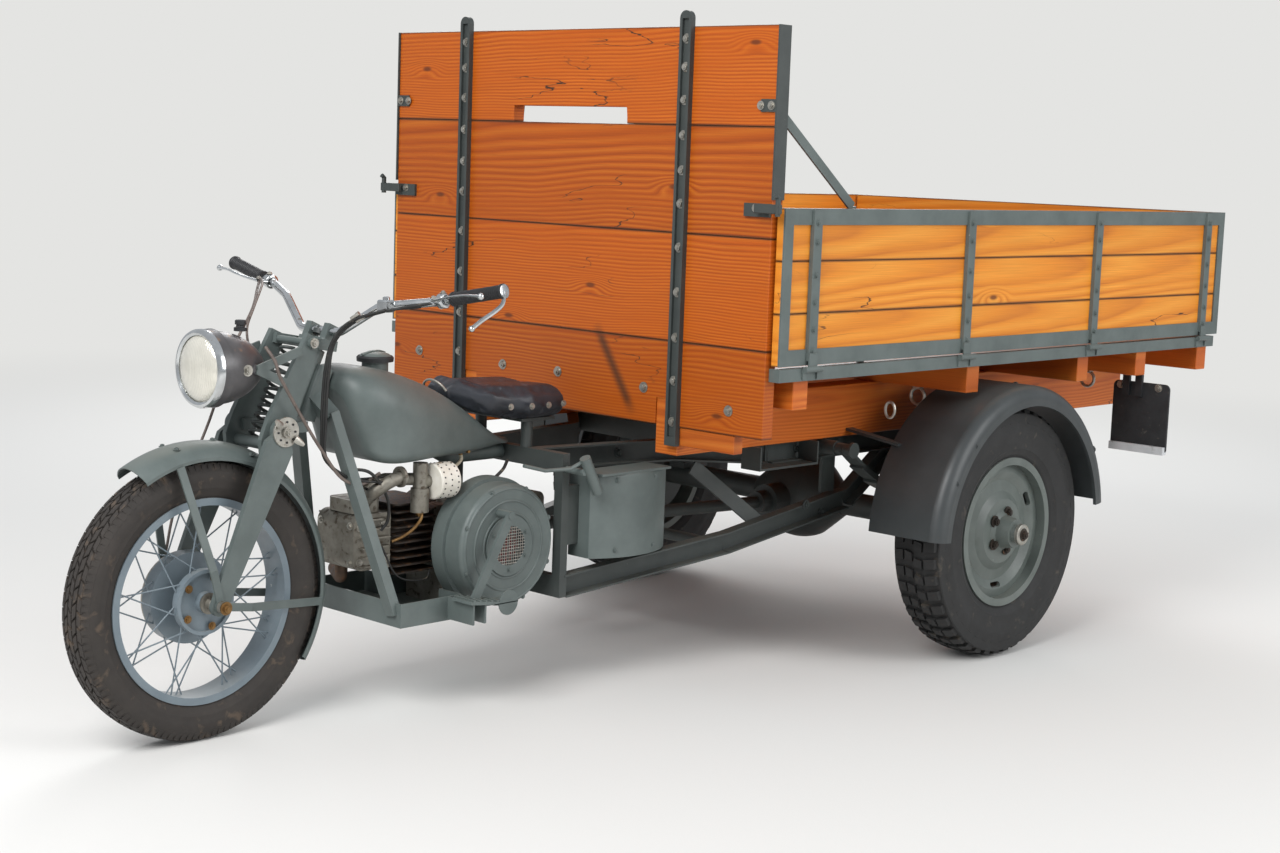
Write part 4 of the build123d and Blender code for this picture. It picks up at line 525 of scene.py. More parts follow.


# Road wear and oil on bare and plated metal, rubber and cast parts. Each finish has its own colours,
# a slow patchiness, dirt in patches and on level faces, and a fine grain.
# On the saddle leather the dirt colour is a painted bluish sheen, not dirt.
def weathered(name, base, tone, dirt, metallic=0.0, smooth=0.4, rough=0.6, patch=0.06, clean=0.55, grit=0.0012,
              relief=0.0003):
    """A worn surface: patch is the size of its colour patches and grit of its grain, in metres."""
    material, tree = new_material(name)
    place = add_node(tree, "ShaderNodeTexCoord").outputs["Object"]
    cloud = add_node(tree, "ShaderNodeTexNoise", values={"Scale": 1 / patch, "Detail": 6.0, "Roughness": 0.62},
                     links={"Vector": place})
    spread = add_node(tree, "ShaderNodeMapRange", values={"From Min": 0.36, "From Max": 0.64},
                      links={"Value": cloud.outputs[0]})
    colour = add_node(tree, "ShaderNodeMix", {"data_type": "RGBA"}, {6: linear(base), 7: linear(tone)},
                      {0: spread.outputs[0]})
    stain = add_node(tree, "ShaderNodeTexNoise", values={"Scale": 2.7 / patch, "Detail": 5.0, "Distortion": 0.4},
                     links={"Vector": place})
    facing = add_node(tree, "ShaderNodeSeparateXYZ",
                      links={0: add_node(tree, "ShaderNodeNewGeometry").outputs["Normal"]})
    level = add_node(tree, "ShaderNodeMapRange", {"interpolation_type": "SMOOTHSTEP"},
                     {"From Min": 0.35, "From Max": 1.0, "To Max": 0.10}, {"Value": facing.outputs["Z"]})
    dirt_and_sheen_mask = add_node(tree, "ShaderNodeMath", {"operation": "ADD"}, links={0: stain.outputs[0], 1: level.outputs[0]})
    cover = add_node(tree, "ShaderNodeMapRange", {"interpolation_type": "SMOOTHSTEP"},
                     {"From Min": clean, "From Max": clean + 0.16, "To Max": 0.85}, {"Value": dirt_and_sheen_mask.outputs[0]})
    shown = add_node(tree, "ShaderNodeMix", {"data_type": "RGBA"}, {7: linear(dirt)},
                     {0: cover.outputs[0], 6: colour.outputs[2]})
    sheen = add_node(tree, "ShaderNodeMapRange", values={"To Min": smooth, "To Max": rough},
                     links={"Value": stain.outputs[0]})
    grain = add_node(tree, "ShaderNodeTexNoise", values={"Scale": 1 / grit, "Detail": 3.0}, links={"Vector": place})
    bump = add_node(tree, "ShaderNodeBump", values={"Strength": 0.35, "Distance": relief},
                    links={"Height": grain.outputs[0]})
    shader = add_node(tree, "ShaderNodeBsdfPrincipled", values={"Metallic": metallic},
                      links={"Base Color": shown.outputs[2], "Roughness": sheen.outputs[0], "Normal": bump.outputs[0]})
    add_node(tree, "ShaderNodeOutputMaterial", links={"Surface": shader.outputs[0]})
    return material


cast_aluminium = weathered("sand_cast_aluminium", "#8D8A81", "#716C62", "#45382B", 0.75, 0.42, 0.68, 0.05, 0.56, 0.0014, 0.0004)
cast_iron = weathered("oily_cast_iron", "#3C332C", "#2B2520", "#6A4C33", 0.35, 0.45, 0.75, 0.045, 0.58, 0.0012, 0.0004)
white_enamel = weathered("gloss_white_enamel", "#D9D6CD", "#C9C4B8", "#8C7453", 0.0, 0.22, 0.42, 0.05, 0.66, 0.002, 0.0001)
exhaust_steel = weathered("heat_browned_steel", "#6A5648", "#4A3D34", "#8A5E3C", 0.6, 0.45, 0.7, 0.06, 0.55, 0.001, 0.0003)
plated_steel = weathered("dull_zinc_plate", "#B3B0A8", "#96938B", "#6E5C45", 0.85, 0.30, 0.55, 0.03, 0.60, 0.0009, 0.0001)
chrome = weathered("polished_chrome", "#D3D5D6", "#BFC2C3", "#8A7A64", 1.0, 0.08, 0.28, 0.04, 0.70, 0.0009, 0.00003)
brass = weathered("tarnished_brass", "#8C6C42", "#6E5333", "#3E3020", 0.75, 0.38, 0.6, 0.02, 0.60, 0.0008, 0.0001)
lamp_enamel = weathered("dark_lamp_enamel", "#5B595A", "#4B4A4B", "#7A6656", 0.3, 0.28, 0.45, 0.07, 0.62, 0.0016, 0.0001)
# This black rubber also paints the shade in the damper's and the air filter's holes.
black_rubber_and_hole_shade = weathered("moulded_rubber_and_hole_shade", "#27282A", "#1D1E20", "#56514A", 0.0, 0.50, 0.70, 0.04, 0.64, 0.0009, 0.0002)
cable_sheath = weathered("black_cable_sheath", "#232322", "#191918", "#5E5648", 0.0, 0.45, 0.65, 0.05, 0.60, 0.0008, 0.0001)
grey_sheath = weathered("grey_brown_cable_sheath", "#6E625B", "#594F4A", "#3E352F", 0.0, 0.45, 0.65, 0.05, 0.60, 0.0008, 0.0001)
red_mesh = weathered("red_primed_fan", "#8E2424", "#6E1A1C", "#331513", 0.1, 0.40, 0.6, 0.03, 0.60, 0.001, 0.0001)

for node, material in (("engine_crankcase", cast_aluminium), ("engine_head", cast_aluminium),
                       ("carburettor", cast_aluminium), ("engine_cylinder", cast_iron), ("exhaust", exhaust_steel),
                       ("handlebar", chrome), ("hand_levers", chrome), ("front_axle", plated_steel),
                       ("tie_rings", plated_steel), ("headlamp_shell", lamp_enamel), ("mud_flaps", black_rubber_and_hole_shade)):
    dress(node, material)


# Tyres: road worn rubber with a brown bloom of dust on the flanks and moulded rings round the beads.
# The front one has five rows of small zigzag blocks, the rear ones chunky lugs over the shoulders.
front_rubber = weathered("dusty_front_tyre_rubber", "#332E2A", "#2A2623", "#574A3E", 0.0, 0.62, 0.85, 0.09, 0.58, 0.0013, 0.0003)
rear_rubber = weathered("rear_tyre_rubber", "#222222", "#1B1B1B", "#4A443C", 0.0, 0.58, 0.80, 0.09, 0.60, 0.0013, 0.0003)


def turned(built, origin, axis, profile, steps=64):
    """Adds a surface turned about an axis. The profile lists (distance along the axis, radius); a radius of
    nought closes an end. Where its first and last points agree it is a closed ring."""
    origin, axis = Vector(origin), Vector(axis).normalized()
    side = axis.orthogonal().normalized()
    other = axis.cross(side)
    rings = []
    ring_closed = profile[0] == profile[-1]
    for along, radius in (profile[:-1] if ring_closed else profile):
        middle = origin + axis * along
        if radius < 1e-6:
            rings.append([built.verts.new(middle)])
            continue
        rings.append([built.verts.new(middle + (side * cos(turn) + other * sin(turn)) * radius)
                      for turn in (2 * pi * step / steps for step in range(steps))])
    pairs = list(zip(rings, rings[1:])) + ([(rings[-1], rings[0])] if ring_closed else [])
    for first, second in pairs:
        for step in range(steps):
            after = (step + 1) % steps
            corners = [first[step % len(first)], first[after % len(first)],
                       second[after % len(second)], second[step % len(second)]]
            corners = list(dict.fromkeys(corners))
            if len(corners) > 2:
                built.faces.new(corners)


def finished(name, built, material, body, replaced=(), sharp=34):
    """Turns a built shape into a named piece with its material and body."""
    bmesh.ops.recalc_face_normals(built, faces=built.faces)
    mesh = bpy.data.meshes.new(name)
    built.to_mesh(mesh)
    built.free()
    mesh.shade_smooth()
    mesh.set_sharp_from_angle(angle=radians(sharp))
    mesh.materials.append(material)
    piece = bpy.data.objects.new(name, mesh)
    scene.collection.objects.link(piece)
    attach(piece, body)
    for node in replaced:
        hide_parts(node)
    return piece


def prism(built, low_ring, high_ring):
    """Adds a closed block between two rings of corners."""
    low = [built.verts.new(corner) for corner in low_ring]
    high = [built.verts.new(corner) for corner in high_ring]
    built.faces.new(low[::-1])
    built.faces.new(high)
    for step in range(len(low)):
        after = (step + 1) % len(low)
        built.faces.new((low[step], low[after], high[after], high[step]))


def ring_tree():
    """Repeats what it is given round the wheel's axis, a set number of times, about a hub centre."""
    tree = bpy.data.node_groups.new("round_the_wheel", "GeometryNodeTree")
    face = tree.interface
    face.new_socket("Geometry", in_out="INPUT", socket_type="NodeSocketGeometry")
    face.new_socket("Count", in_out="INPUT", socket_type="NodeSocketInt")
    face.new_socket("Hub Centre", in_out="INPUT", socket_type="NodeSocketVector")
    face.new_socket("Material", in_out="INPUT", socket_type="NodeSocketMaterial")
    face.new_socket("Geometry", in_out="OUTPUT", socket_type="NodeSocketGeometry")
    given = add_node(tree, "NodeGroupInput")
    points = add_node(tree, "GeometryNodeMeshLine", values={"Offset": (0.0, 0.0, 0.0)},
                      links={"Count": given.outputs["Count"]})
    pitch = add_node(tree, "ShaderNodeMath", {"operation": "DIVIDE"}, {0: 2 * pi}, {1: given.outputs["Count"]})
    turn = add_node(tree, "ShaderNodeMath", {"operation": "MULTIPLY"},
                    links={0: add_node(tree, "GeometryNodeInputIndex").outputs[0], 1: pitch.outputs[0]})
    rotation = add_node(tree, "ShaderNodeCombineXYZ", links={"X": turn.outputs[0]})
    copies = add_node(tree, "GeometryNodeInstanceOnPoints",
                      links={"Points": points.outputs[0], "Instance": given.outputs["Geometry"],
                             "Rotation": rotation.outputs[0]})
    real = add_node(tree, "GeometryNodeRealizeInstances", links={0: copies.outputs[0]})
    placed = add_node(tree, "GeometryNodeTransform",
                      links={"Geometry": real.outputs[0], "Translation": given.outputs["Hub Centre"]})
    dressed = add_node(tree, "GeometryNodeSetMaterial",
                       links={"Geometry": placed.outputs[0], "Material": given.outputs["Material"]})
    add_node(tree, "NodeGroupOutput", links={0: dressed.outputs[0]})
    return tree


RING_TREE = ring_tree()


def grown(name, built, tree, inputs, body, replaced=(), sharp=34):
    """Runs a node tree on a built shape and keeps the result as a plain mesh."""
    mesh = bpy.data.meshes.new(f"{name}_seed")
    built.to_mesh(mesh)
    built.free()
    seed = bpy.data.objects.new(f"{name}_seed", mesh)
    scene.collection.objects.link(seed)
    modifier = seed.modifiers.new("grow", "NODES")
    modifier.node_group = tree
    for socket in tree.interface.items_tree:
        if socket.in_out == "INPUT" and socket.name in inputs:
            modifier[socket.identifier] = inputs[socket.name]
    made = bpy.data.meshes.new_from_object(seed.evaluated_get(bpy.context.evaluated_depsgraph_get()))
    bpy.data.objects.remove(seed)
    made.name = name
    made.shade_smooth()
    made.set_sharp_from_angle(angle=radians(sharp))
    piece = bpy.data.objects.new(name, made)
    scene.collection.objects.link(piece)
    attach(piece, body)
    for node in replaced:
        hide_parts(node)
    return piece


def hub_of(node):
    low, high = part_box(node)
    return (low + high) / 2, (high.x - low.x) / 2, (high.z - low.z) / 2


def on_crown(x, radius, turn):
    """A point at x across and a radius from the hub, turned about it from straight up."""
    return (x, -radius * sin(turn), radius * cos(turn))


def tyre_body(built, half, bead_half, bead_r, lip_r, crown_r, groove):
    """A tyre's carcass from bead to bead, with moulded rings on both flanks."""
    mid_r = (crown_r + lip_r) / 2
    flank = [(bead_half, bead_r), (bead_half, lip_r), (bead_half + 0.3 * (half - bead_half), lip_r + 0.006),
             (bead_half + 0.36 * (half - bead_half), lip_r + 0.010), (0.93 * half, lip_r + 0.022),
             (0.945 * half, lip_r + 0.024), (0.94 * half, lip_r + 0.027), (0.985 * half, mid_r - 0.006),
             (half, mid_r), (0.985 * half, mid_r + 0.010), (0.93 * half, crown_r - 0.022),
             (0.90 * half, crown_r - 0.019), (0.80 * half, crown_r - 0.1 * half - groove),
             (0.45 * half, crown_r - 0.03 * half - groove), (0, crown_r - groove)]
    turned(built, (0, 0, 0), (1, 0, 0), [*flank, *((-x, r) for x, r in flank[-2::-1]), flank[0]], 120)


FRONT_GROOVE = 0.006
FRONT_PITCHES = 58
hub, half, crown_r = hub_of("front_tyre")
built = bmesh.new()
tyre_body(built, half, 0.035, 0.238, 0.254, crown_r, FRONT_GROOVE)
bmesh.ops.translate(built, verts=built.verts, vec=hub)
finished("front_tyre_carcass", built, front_rubber, "front_wheel", ["front_tyre"])

# One pitch of the front tread: row's middle, its half width, its shift and its skew, in shares
FRONT_ROWS = ((-0.66, 0.115, 0.5, 0.25), (-0.33, 0.12, 0.0, -0.3), (0.0, 0.12, 0.5, 0.3), (0.33, 0.12, 0.0, -0.3),
              (0.66, 0.115, 0.5, 0.25))
built = bmesh.new()
pitch = 2 * pi / FRONT_PITCHES
for middle, wide, shift, skew in FRONT_ROWS:
    rings = []
    for top in (0, 1):
        ring = []
        for across, ahead in ((-1, -1), (1, -1), (1, 1), (-1, 1)):
            reach = (0.40 if top else 0.44) * ahead + skew * 0.5 * across
            x = half * (middle + across * (wide if top else wide + 0.02))
            radius = crown_r - 0.13 * half * (x / half) ** 2 * 1.2 - (0.0003 if top else FRONT_GROOVE + 0.001)
            ring.append(on_crown(x, radius, pitch * (shift + reach)))
        rings.append(ring)
    prism(built, *rings)
# Shoulder blocks that reach down the flank
for side in (-1, 1):
    for shift in (0.25, 0.75):
        rings = []
        for top in (0, 1):
            lift = 0 if top else -0.005
            rings.append([on_crown(side * (x * half + lift), radius + lift, pitch * (shift + ahead))
                          for x, radius, ahead in ((0.80, crown_r - 0.006, -0.17), (0.80, crown_r - 0.006, 0.17),
                                                   (0.955, crown_r - 0.024, 0.15), (0.955, crown_r - 0.024, -0.15))])
        prism(built, *rings)
grown("front_tyre_tread", built, RING_TREE, {"Count": FRONT_PITCHES, "Hub Centre": hub, "Material": front_rubber},
      "front_wheel")

REAR_GROOVE = 0.010
REAR_PITCHES = 46
# One pitch of the rear tread: block corners as x share and pitch share, going round
REAR_BLOCKS = (((-0.34, 0.0), (-0.04, 0.12), (-0.04, 0.62), (-0.34, 0.50)),
               ((0.04, 0.38), (0.34, 0.50), (0.34, 1.0), (0.04, 0.88)),
               ((-0.80, 0.10), (-0.42, 0.02), (-0.42, 0.60), (-0.80, 0.68)),
               ((0.42, 0.40), (0.80, 0.32), (0.80, 0.90), (0.42, 0.98)))
for word in ("left", "right"):
    hub, half, crown_r = hub_of(f"rear_tyre_{word}")
    built = bmesh.new()
    tyre_body(built, half, 0.065, 0.205, 0.226, crown_r, REAR_GROOVE)
    bmesh.ops.translate(built, verts=built.verts, vec=hub)
    finished(f"rear_tyre_{word}_carcass", built, rear_rubber, f"rear_wheel_{word}",
             [f"rear_tyre_{word}"])
    built = bmesh.new()
    pitch = 2 * pi / REAR_PITCHES
    for block in REAR_BLOCKS:
        rings = []
        for top in (0, 1):
            ring = []
            for x, ahead in block:
                grow = 1 if top else 1.05
                radius = crown_r - 0.15 * half * x * x - (0.0005 if top else REAR_GROOVE + 0.002)
                ring.append(on_crown(half * x * grow, radius, pitch * ahead))
            rings.append(ring)
        prism(built, *rings)
    # Side lugs: thick bars from the shoulder down the flank
    for side, shift in ((-1, 0.10), (1, 0.32)):
        rings = []
        for top in (0, 1):
            lift = 0 if top else -0.010
            rings.append([on_crown(side * (x * half + lift), radius + lift, pitch * (shift + ahead))
                          for x, radius, ahead in ((0.80, crown_r - 0.010, 0.0), (0.80, crown_r - 0.010, 0.58),
                                                   (0.975, crown_r - 0.048, 0.50), (0.975, crown_r - 0.048, 0.08))])
        prism(built, *rings)
    grown(f"rear_tyre_{word}_tread", built, RING_TREE,
          {"Count": REAR_PITCHES, "Hub Centre": hub, "Material": rear_rubber}, f"rear_wheel_{word}")


# Bolts and nuts that hold the machine together: hexagon or domed heads, each on its washer.
# They are zinc plated, brass, or painted over with the iron they hold.
def surface_of(node):
    """A search tree over a node's faces, for setting things down on it."""
    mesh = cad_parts[node].data
    return BVHTree.FromPolygons([vert.co for vert in mesh.vertices], [face.vertices for face in mesh.polygons])


def met(node, starts, way):
    """Where lines from the starts first meet a node, with the way each faces. Lines that miss are left out."""
    tree = surface_of(node)
    way = Vector(way).normalized()
    found = [tree.ray_cast(Vector(start), way)[0] for start in starts]
    return [(place, -way) for place in found if place is not None]


def fastener_tree():
    """Sets a bolt head on a washer at every point, facing along the point's aim attribute."""
    tree = bpy.data.node_groups.new("bolt_heads", "GeometryNodeTree")
    face = tree.interface
    face.new_socket("Geometry", in_out="INPUT", socket_type="NodeSocketGeometry")
    face.new_socket("Radius", in_out="INPUT", socket_type="NodeSocketFloat")
    face.new_socket("Sides", in_out="INPUT", socket_type="NodeSocketInt")
    face.new_socket("Material", in_out="INPUT", socket_type="NodeSocketMaterial")
    face.new_socket("Geometry", in_out="OUTPUT", socket_type="NodeSocketGeometry")
    given = add_node(tree, "NodeGroupInput")
    radius = given.outputs["Radius"]
    joined = add_node(tree, "GeometryNodeJoinGeometry")
    # sides, radius, thickness and height of the middle, in head radii
    for sides, wide, thick, middle in ((18, 1.55, 0.30, 0.12), (None, 1.0, 0.80, 0.60), (10, 0.55, 0.30, 1.10)):
        across = add_node(tree, "ShaderNodeMath", {"operation": "MULTIPLY"}, {1: wide}, {0: radius})
        depth = add_node(tree, "ShaderNodeMath", {"operation": "MULTIPLY"}, {1: thick}, {0: radius})
        lift = add_node(tree, "ShaderNodeMath", {"operation": "MULTIPLY"}, {1: middle}, {0: radius})
        disc = add_node(tree, "GeometryNodeMeshCylinder", values={"Vertices": sides or 6},
                        links={"Radius": across.outputs[0], "Depth": depth.outputs[0]})
        if sides is None:
            tree.links.new(given.outputs["Sides"], disc.inputs["Vertices"])
        up = add_node(tree, "ShaderNodeCombineXYZ", links={"Z": lift.outputs[0]})
        raised = add_node(tree, "GeometryNodeTransform", links={"Geometry": disc.outputs["Mesh"], "Translation": up.outputs[0]})
        tree.links.new(raised.outputs[0], joined.inputs[0])
    aim = add_node(tree, "GeometryNodeInputNamedAttribute", {"data_type": "FLOAT_VECTOR"}, {"Name": "aim"})
    turn = add_node(tree, "FunctionNodeAlignRotationToVector", {"axis": "Z"}, links={"Vector": aim.outputs[0]})
    heads = add_node(tree, "GeometryNodeInstanceOnPoints",
                     links={"Points": given.outputs["Geometry"], "Instance": joined.outputs[0],
                            "Rotation": turn.outputs[0]})
    real = add_node(tree, "GeometryNodeRealizeInstances", links={0: heads.outputs[0]})
    dressed = add_node(tree, "GeometryNodeSetMaterial",
                       links={"Geometry": real.outputs[0], "Material": given.outputs["Material"]})
    add_node(tree, "NodeGroupOutput", links={0: dressed.outputs[0]})
    return tree


FASTENER_TREE = fastener_tree()


def fasteners(name, spots, radius, material, body, sides=6):
    """Bolt heads at (place, way it faces) pairs, as one piece."""
    built = bmesh.new()
    aim = built.verts.layers.float_vector.new("aim")
    for place, way in spots:
        built.verts.new(Vector(place) - Vector(way) * 0.0003)[aim] = Vector(way)
    return grown(name, built, FASTENER_TREE, {"Radius": radius, "Sides": sides, "Material": material}, body)


def smooth_path(points, per=8):
    """A smooth curve through the points, in metres."""
    points = [Vector(point) for point in points]
    ends = [points[0] * 2 - points[1], *points, points[-1] * 2 - points[-2]]
    path = []
    for a, b, c, d in zip(ends, ends[1:], ends[2:], ends[3:]):
        for step in range(per):
            t = step / per
            path.append(0.5 * (2 * b + (c - a) * t + (2 * a - 5 * b + 4 * c - d) * t * t
                               + (3 * b - 3 * c + d - a) * t ** 3))
    return [*path, points[-1]]


def swept(built, path, radius, steps=10, flat=1.0, lie=None):
    """Adds a closed rod along a path. radius is one number or one for each point; flat squeezes the section
    along the direction lie."""
    path = [Vector(point) for point in path]
    radii = radius if hasattr(radius, "__len__") else [radius] * len(path)
    side = Vector(lie).normalized() if lie else (path[1] - path[0]).orthogonal().normalized()
    rings = []
    for number, point in enumerate(path):
        way = (path[min(number + 1, len(path) - 1)] - path[max(number - 1, 0)]).normalized()
        side = (side - way * side.dot(way)).normalized()
        other = way.cross(side)
        rings.append([built.verts.new(point + (side * cos(turn) * flat + other * sin(turn)) * radii[number])
                      for turn in (2 * pi * step / steps for step in range(steps))])
    for first, second in zip(rings, rings[1:]):
        for step in range(steps):
            after = (step + 1) % steps
            built.faces.new((first[step], first[after], second[after], second[step]))
    built.faces.new(rings[0][::-1])
    built.faces.new(rings[-1])


def block(built, low, high, bevel=0.001):
    """Adds a bevelled box between two corners."""
    made = bmesh.ops.create_cube(built, size=1.0)["verts"]
    for vert in made:
        vert.co = Vector([low[axis] + (vert.co[axis] + 0.5) * (high[axis] - low[axis]) for axis in range(3)])
    edges = list({edge for vert in made for edge in vert.link_edges})
    if bevel:
        bmesh.ops.bevel(built, geom=edges, offset=bevel, segments=1, affect="EDGES")


def in_fork(x, back, up):
    """A point given in the steering head's own directions, in metres."""
    return Vector((x, -1.229 + 0.91355 * back + 0.40674 * up, 0.957 - 0.40674 * back + 0.91355 * up))


# Front wheel: a pale painted rim laced to a drum brake hub with thin steel spokes.
# The hub cone, the hub nuts and the axle nuts are its fastenings; the nuts are brass.
rim_paint = satin_paint("satin_blue_grey_rim_paint", "#737F86", "#66727A", "#A39C8E", "#B5B8B6", roughness=0.34, chips=0.66)
dress("front_wheel_laced", rim_paint)
HUB = Vector((0, -1.584, 0.342))
built = bmesh.new()
turned(built, HUB, (1, 0, 0), [(0.0535, 0), (0.0535, 0.024), (0.056, 0.026), (0.060, 0.026), (0.062, 0.022),
                               (0.062, 0.015), (0.075, 0.013), (0.078, 0.010), (0.078, 0)], 32)
finished("front_hub_cone", built, cast_aluminium, "front_wheel")
spots = [(HUB + Vector((0.0445, 0.062 * sin(turn), 0.062 * cos(turn))), Vector((1, 0, 0)))
         for turn in (radians(20 + 72 * number) for number in range(5))]
fasteners("front_hub_nuts", spots, 0.0065, brass, "front_wheel")
fasteners("front_axle_nuts", [(HUB + Vector((0.126, 0, 0)), Vector((1, 0, 0))),
                              (HUB + Vector((-0.126, 0, 0)), Vector((-1, 0, 0)))], 0.0105, brass, "fork")

# Girder fork: pressed blades on pivot links, with a coil spring between them and a friction damper
# on the left pivot. The damper is a nickel plate with eight holes and two finger wings.
built = bmesh.new()
turns = 11
path = []
for step in range(turns * 14 + 1):
    turn = 2 * pi * step / 14
    path.append(in_fork(0.021 * cos(turn), -0.072 + 0.021 * sin(turn), -0.292 + 0.240 * step / (turns * 14)))
swept(built, path, 0.0044, 8)
finished("fork_spring", built, chassis_paint, "fork", sharp=60)
DAMPER = in_fork(0.0, 0.0, -0.262)
damper_low, damper_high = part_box("fork_girder")
built = bmesh.new()
SIDE = damper_high.x
turned(built, (SIDE - 0.004, -1.4012, 0.7477), (1, 0, 0), [(0, 0), (0, 0.036), (0.001, 0.037), (0.006, 0.037),
                                                         (0.007, 0.036), (0.007, 0.013), (0.012, 0.012),
                                                         (0.013, 0.010), (0.013, 0)], 40)
for turn in (radians(128), radians(308)):
    way = Vector((0.25, sin(turn), cos(turn)))
    swept(built, [Vector((SIDE + 0.002, -1.4012, 0.7477)) + way * reach for reach in (0.026, 0.036, 0.047, 0.054)],
          [0.010, 0.009, 0.007, 0.004], 12, 0.35, (1, 0, 0))
finished("damper_star", built, plated_steel, "fork")
# The eight holes are black discs that paint the shade behind the plate.
spots = [(Vector((SIDE + 0.0025, -1.4012 + 0.025 * sin(turn), 0.7477 + 0.025 * cos(turn))), Vector((1, 0, 0)))
         for turn in (2 * pi * number / 8 for number in range(8))]
fasteners("damper_hole_shade_discs", spots, 0.0028, black_rubber_and_hole_shade, "fork", 10)
fasteners("damper_nut", [(Vector((SIDE + 0.009, -1.4012, 0.7477)), Vector((1, 0, 0)))], 0.009, plated_steel, "fork")
pivots = [in_fork(0.14, back, up) for back, up in ((-0.0742, -0.032), (0.0, -0.032), (0.0, -0.262), (-0.0742, -0.262))]
fasteners("fork_pivot_nuts", met("fork_girder", pivots, (-1, 0, 0)), 0.008, plated_steel, "fork")

# Front mudguard: a valanced blade with a folded beak, held by flat stays and small bolts.
# The fold and the bolt heads are painted with it.
spots = met("front_mudguard", [(x, y, 0.9) for x, y in ((0.03, -1.66), (-0.03, -1.66), (0.0, -1.54), (0.045, -1.46),
                                                      (-0.045, -1.46))], (0, 0, -1))
fasteners("front_guard_bolts", spots, 0.0055, frame_paint, "fork", 10)

# Head lamp: a dark enamelled shell with a chromed rim, a milky fluted glass and a switch knob on top.
# It sits on two painted ears and its lead runs down the left of the fork.
low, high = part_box("headlamp_glass")
LAMP = Vector((0, high.y, (low.z + high.z) / 2))
LENS_R = (high.z - low.z) / 2
built = bmesh.new()
turned(built, LAMP, (0, -1, 0), [(-0.006, LENS_R + 0.013), (0.004, LENS_R + 0.013), (0.010, LENS_R + 0.010),
                                 (0.012, LENS_R + 0.004), (0.008, LENS_R - 0.002), (-0.006, LENS_R - 0.002),
                                 (-0.006, LENS_R + 0.013)], 72)
finished("headlamp_rim", built, chrome, "fork")
built = bmesh.new()
dome = [(0.0235 * cos(radians(90 * step / 10)), (LENS_R - 0.001) * sin(radians(90 * step / 10))) for step in range(11)]
turned(built, LAMP, (0, -1, 0), [*dome, (-0.008, LENS_R - 0.001), (-0.008, 0)], 72)
lamp_glass, tree = new_material("milky_fluted_glass")
place = add_node(tree, "ShaderNodeTexCoord").outputs["Object"]
flutes = add_node(tree, "ShaderNodeTexWave", {"wave_type": "BANDS", "bands_direction": "X"},
                  {"Scale": 48.0, "Distortion": 0.0}, {"Vector": place})
haze = add_node(tree, "ShaderNodeTexNoise", values={"Scale": 22.0, "Detail": 4.0}, links={"Vector": place})
tone = add_node(tree, "ShaderNodeMix", {"data_type": "RGBA"}, {6: linear("#B9B6AA"), 7: linear("#E6E2D6")},
                {0: haze.outputs[0]})
bump = add_node(tree, "ShaderNodeBump", values={"Strength": 0.45, "Distance": 0.0015}, links={"Height": flutes.outputs[0]})
shader = add_node(tree, "ShaderNodeBsdfPrincipled", values={"Roughness": 0.07, "Metallic": 0.25, "Coat Weight": 1.0,
                                                            "Coat Roughness": 0.02},
                  links={"Base Color": tone.outputs[2], "Normal": bump.outputs[0]})
add_node(tree, "ShaderNodeOutputMaterial", links={"Surface": shader.outputs[0]})
finished("headlamp_lens", built, lamp_glass, "fork", ["headlamp_glass"])
built = bmesh.new()
turned(built, (0.0, -1.462, 0.990), (0, 0, 1), [(-0.004, 0), (-0.004, 0.016), (0.004, 0.016), (0.006, 0.011), (0.011, 0.010),
                                              (0.012, 0.0135), (0.021, 0.0135), (0.023, 0.011), (0.023, 0)], 28)
finished("lamp_switch_knob", built, black_rubber_and_hole_shade, "fork")
lamp_side = met("headlamp_shell", [(0.2, -1.500, 0.900), (-0.2, -1.500, 0.900)], (-1, 0, 0))[:1]
lamp_side += met("headlamp_shell", [(-0.2, -1.500, 0.900)], (1, 0, 0))
fasteners("lamp_ear_bolts", lamp_side, 0.009, plated_steel, "fork")

# Steering head top: a large clamp nut with a flat finger wing that tightens the steering friction.
built = bmesh.new()
top = in_fork(0, 0, 0.0)
low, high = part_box("steering_stem")
axis = (in_fork(0, 0, 1) - in_fork(0, 0, 0)).normalized()
turned(built, in_fork(0, 0, 0.012), axis, [(0, 0), (0, 0.019), (0.012, 0.019), (0.014, 0.014), (0.020, 0.012),
                                         (0.022, 0.009), (0.022, 0)], 24)
swept(built, [in_fork(-0.034, 0, 0.027), in_fork(-0.012, 0, 0.029), in_fork(0.012, 0, 0.029), in_fork(0.034, 0, 0.027)],
      [0.011, 0.006, 0.006, 0.011], 12, 0.45, axis)
finished("steering_damper_wing", built, chassis_paint, "fork")

# Handlebar grips: black moulded rubber with fine ribs and a thicker end, pushed over the chromed tube.
low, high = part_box("handlebar_grips")
grip_rubber = weathered("ribbed_grip_rubber", "#232325", "#1A1A1C", "#4E4A45", 0.0, 0.42, 0.6, 0.05, 0.66, 0.0008, 0.0002)
for word, side in (("left", 1), ("right", -1)):
    inner, outer = Vector((side * 0.3812, -1.1182, 1.0819)), Vector((side * 0.5409, -1.1002, 1.1126))
    length = (outer - inner).length
    profile = [(-0.001, 0), (-0.001, 0.0175), (0.004, 0.0185)]
    ribs = 22
    for rib in range(ribs):
        start = 0.006 + (length - 0.016) * rib / ribs
        profile += [(start, 0.0150), (start + 0.0016, 0.0164), (start + 0.0052, 0.0164), (start + 0.0062, 0.0150)]
    profile += [(length - 0.007, 0.0185), (length - 0.002, 0.0185), (length, 0.0165), (length, 0)]
    built = bmesh.new()
    turned(built, inner, outer - inner, profile, 32)
    finished(f"ribbed_grip_{word}", built, grip_rubber, "fork", ["handlebar_grips"] if side > 0 else ())


